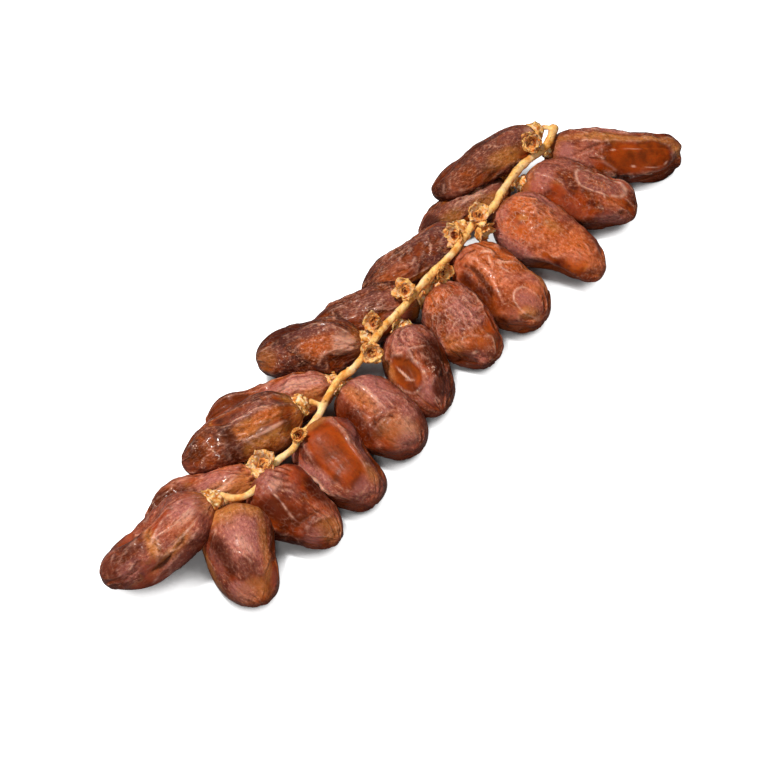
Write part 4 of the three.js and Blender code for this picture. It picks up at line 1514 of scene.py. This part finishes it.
        SHADE(48, -44, 25, 11, 0.45), SHADE(62, -90, 22, 9), RIDGE(48, -30, 18, 1.8, 0.7, -20),
        VALLEY(70, -20, 14, 2.2, 1.1, 72), RIDGE(78, -22, 13, 2, 0.8, 70), OCHRE(90, -10, 7, 11, 0.3),
        BLOOM(84, -66, 6, 8, 0.4),
    ), swell=2.4, hump=2, reach=2.8, longer=-0.6, folds=0.2, facets=0.2, crumple=0.35, amber=0.2,
        chance=0.4),
    Date("right_10", Tone.ROSE, 20, (
        DENT(66, 84, 27, 24, 2.3), DENT(55, -120, 22, 10, -1.3), BLOOM(48, 0, 26, 16),
        OCHRE(10, -10, 15, 30), OCHRE(58, 40, 30, 5, 0.3), OCHRE(40, -94, 28, 7), SHADE(56, -52, 20, 9),
        SHEEN(56, -2, 9, 5, 0.2, 30), RIDGE(62, -8, 10, 0.9, 0.5, 40, -1), SHADE(74, -10, 10, 9, 0.35),
        OCHRE(92, -20, 7, 16, 0.3), BLOOM(88, -60, 9, 8, 0.4), BLOOM(56, -64, 14, 4, 0.3),
    ), swell=1.2, hump=0.8, reach=2.6, longer=-1, folds=0.06, facets=0.12, crumple=0.1, amber=0.1,
        chance=0.2),
)

CUPS = (
    Cup(-148, 50, 1.05, 0.15, 4, 0.6),
    Cup(-150, 58, 0.96, 0.42, 3, 1.0),
    Cup(-100, -10, 1.15, 0.3, 3, 0.5),
    Cup(160, 30, 1.0, 0.5, 4, 0.7),
    Cup(-105, 20, 0.85, 0.4, 4, 0.3),
    Cup(175, 55, 0.95, 0.4, 4, 0.7),
    Cup(175, 45, 0.88, 0.25, 4, 0.6),
    Cup(-130, 52, 0.9, 0.4, 5, 0.5),
    Cup(-110, 50, 0.78, -0.05, 3, 0.1),
    Cup(175, 55, 1.02, 0.5, 5, 1.0),
)

ROUTE = (
    (108.3, 6.0, 18.0), (99.3, 4.1, 17.0), (90.3, 5.7, 17.0), (82.3, 6.6, 17.0),
    (70.3, 5.8, 17.0), (61.8, 4.7, 17.0), (50.3, 6.2, 17.0), (35.3, 5.2, 17.0),
    (20.8, 6.3, 17.0), (4.8, 6.3, 17.0), (-6.7, 7.2, 17.0), (-17.2, 6.2, 17.0),
    (-26.7, 5.9, 17.0), (-32.7, 7.4, 17.0), (-42.2, 6.2, 17.0), (-50.2, 4.4, 17.0),
    (-59.2, 4.8, 17.0), (-64.7, 4.0, 17.0), (-71.2, 5.4, 17.0), (-79.7, 4.7, 17.0),
    (-86.2, 5.4, 17.2), (-89.7, 7.6, 17.4), (-91.2, 10.4, 17.4),
)


# The studio


@dataclass
class Studio:
    """A pale floor, soft lamps and the camera, placed from the middle of the bunch."""

    heading: float = 32.3
    drop: float = 50.0
    distance: float = 650.0
    target: tuple[float, float, float] = (-12.7, 0.4, 8.0)
    lens: float = 90.0
    sensor: float = 36.0
    shift: float = -0.031
    floor_size: float = 4000.0
    floor_drop: float = 0.3
    floor_grey: float = 0.62
    floor_dim: float = 0.36
    near_shadow: float = 7.0
    wide_shadow: float = 26.0
    sky: float = 0.14

    def shadow(self, w: Wiring, distance: float, low: float, high: float) -> Socket:
        """How open the floor is to the sky over a distance, mapped from a range onto 0..1."""
        sky = w.node("ShaderNodeAmbientOcclusion", {"Distance": distance * MM}, samples=16)
        return w.span(sky.outputs["AO"], low, high)

    def floor(self) -> None:
        """Lays the floor, white to the camera but for its shadows, and dim to everything else."""
        half, drop = self.floor_size / 2 * MM, -self.floor_drop * MM
        corners = [(x * half, y * half, drop) for x, y in ((-1, -1), (1, -1), (1, 1), (-1, 1))]
        floor = mesh_object("floor", np.array(corners), [(0, 1, 2, 3)])
        material, w = new_material("pale_floor")
        near = self.shadow(w, self.near_shadow, 0.06, 0.52)
        wide = self.shadow(w, self.wide_shadow, 0.22, 0.50)
        glow = w.out("ShaderNodeEmission", {"Color": (1.0, 1.0, 1.0), "Strength": w.times(near, wide)})
        paint = w.out("ShaderNodeBsdfDiffuse", {"Color": (self.floor_grey,) * 3})
        dim = w.out("ShaderNodeBsdfDiffuse", {"Color": (self.floor_dim,) * 3})
        seen = w.node("ShaderNodeLightPath").outputs["Is Camera Ray"]
        lit = w.out("ShaderNodeAddShader", {0: paint, 1: glow})
        both = w.out("ShaderNodeMixShader", {0: seen, 1: dim, 2: lit})
        w.node("ShaderNodeOutputMaterial", {"Surface": both})
        floor.data.materials.append(material)

    def aim(self, thing: Thing, place: Array, way: Array) -> None:
        """Puts a lamp or camera at a place in metres, turned to look along a way."""
        turn = Vector(way).to_track_quat("-Z", "Y").to_matrix().to_4x4()
        thing.matrix_world = Matrix.Translation(Vector(place)) @ turn

    def lamp(self, name: str, place: tuple[float, float, float], size: float, watts: float) -> None:
        """Hangs a square lamp that faces the bunch.

        Args:
            name: Its name.
            place: Where it hangs from the middle, in metres.
            size: Its side in metres.
            watts: Its power.
        """
        light = bpy.data.lights.new(name, "AREA")
        light.shape, light.size, light.energy = "SQUARE", size, watts
        self.aim(add_object(name, light), place, -np.array(place))

    def world(self) -> None:
        """Lights everything evenly, and shows white behind it."""
        world = bpy.data.worlds.new("studio")
        bpy.context.scene.world = world
        world.use_nodes = True
        w = Wiring(world.node_tree)
        seen = w.node("ShaderNodeLightPath").outputs["Is Camera Ray"]
        level = w.out("ShaderNodeMapRange", {0: seen, 3: self.sky, 4: 1.0})
        glow = w.out("ShaderNodeBackground", {"Color": (1.0, 1.0, 1.0), "Strength": level})
        w.node("ShaderNodeOutputWorld", {"Surface": glow})

    def camera(self) -> None:
        """Sets the camera looking down on the bunch."""
        middle = (np.array(CAD_BOX[0]) + np.array(CAD_BOX[1])) / 2
        target = np.array(self.target) * MM + np.array([middle[0], middle[1], 0.0])
        ahead = heading_to_way(self.heading, -self.drop)
        data = bpy.data.cameras.new("camera")
        data.lens, data.sensor_width, data.shift_y = self.lens, self.sensor, self.shift
        camera = add_object("camera", data)
        self.aim(camera, target - ahead * self.distance * MM, ahead)
        bpy.context.scene.camera = camera

    def build(self) -> None:
        """Sets up the floor, the lamps, the world and the camera."""
        self.floor()
        self.lamp("key", (-0.18, 0.30, 0.90), 0.14, 10.3)
        self.lamp("fill", (-0.60, -0.35, 0.62), 0.16, 1.8)
        self.world()
        self.camera()
        bpy.context.scene.view_settings.view_transform = "Standard"


def main() -> None:
    """Builds the bunch and the studio."""
    logging.basicConfig(level=logging.INFO, format="%(message)s")
    Studio().build()
    Bunch(DATES, CUPS, Strand(ROUTE)).build()


if __name__ == "__main__":
    main()
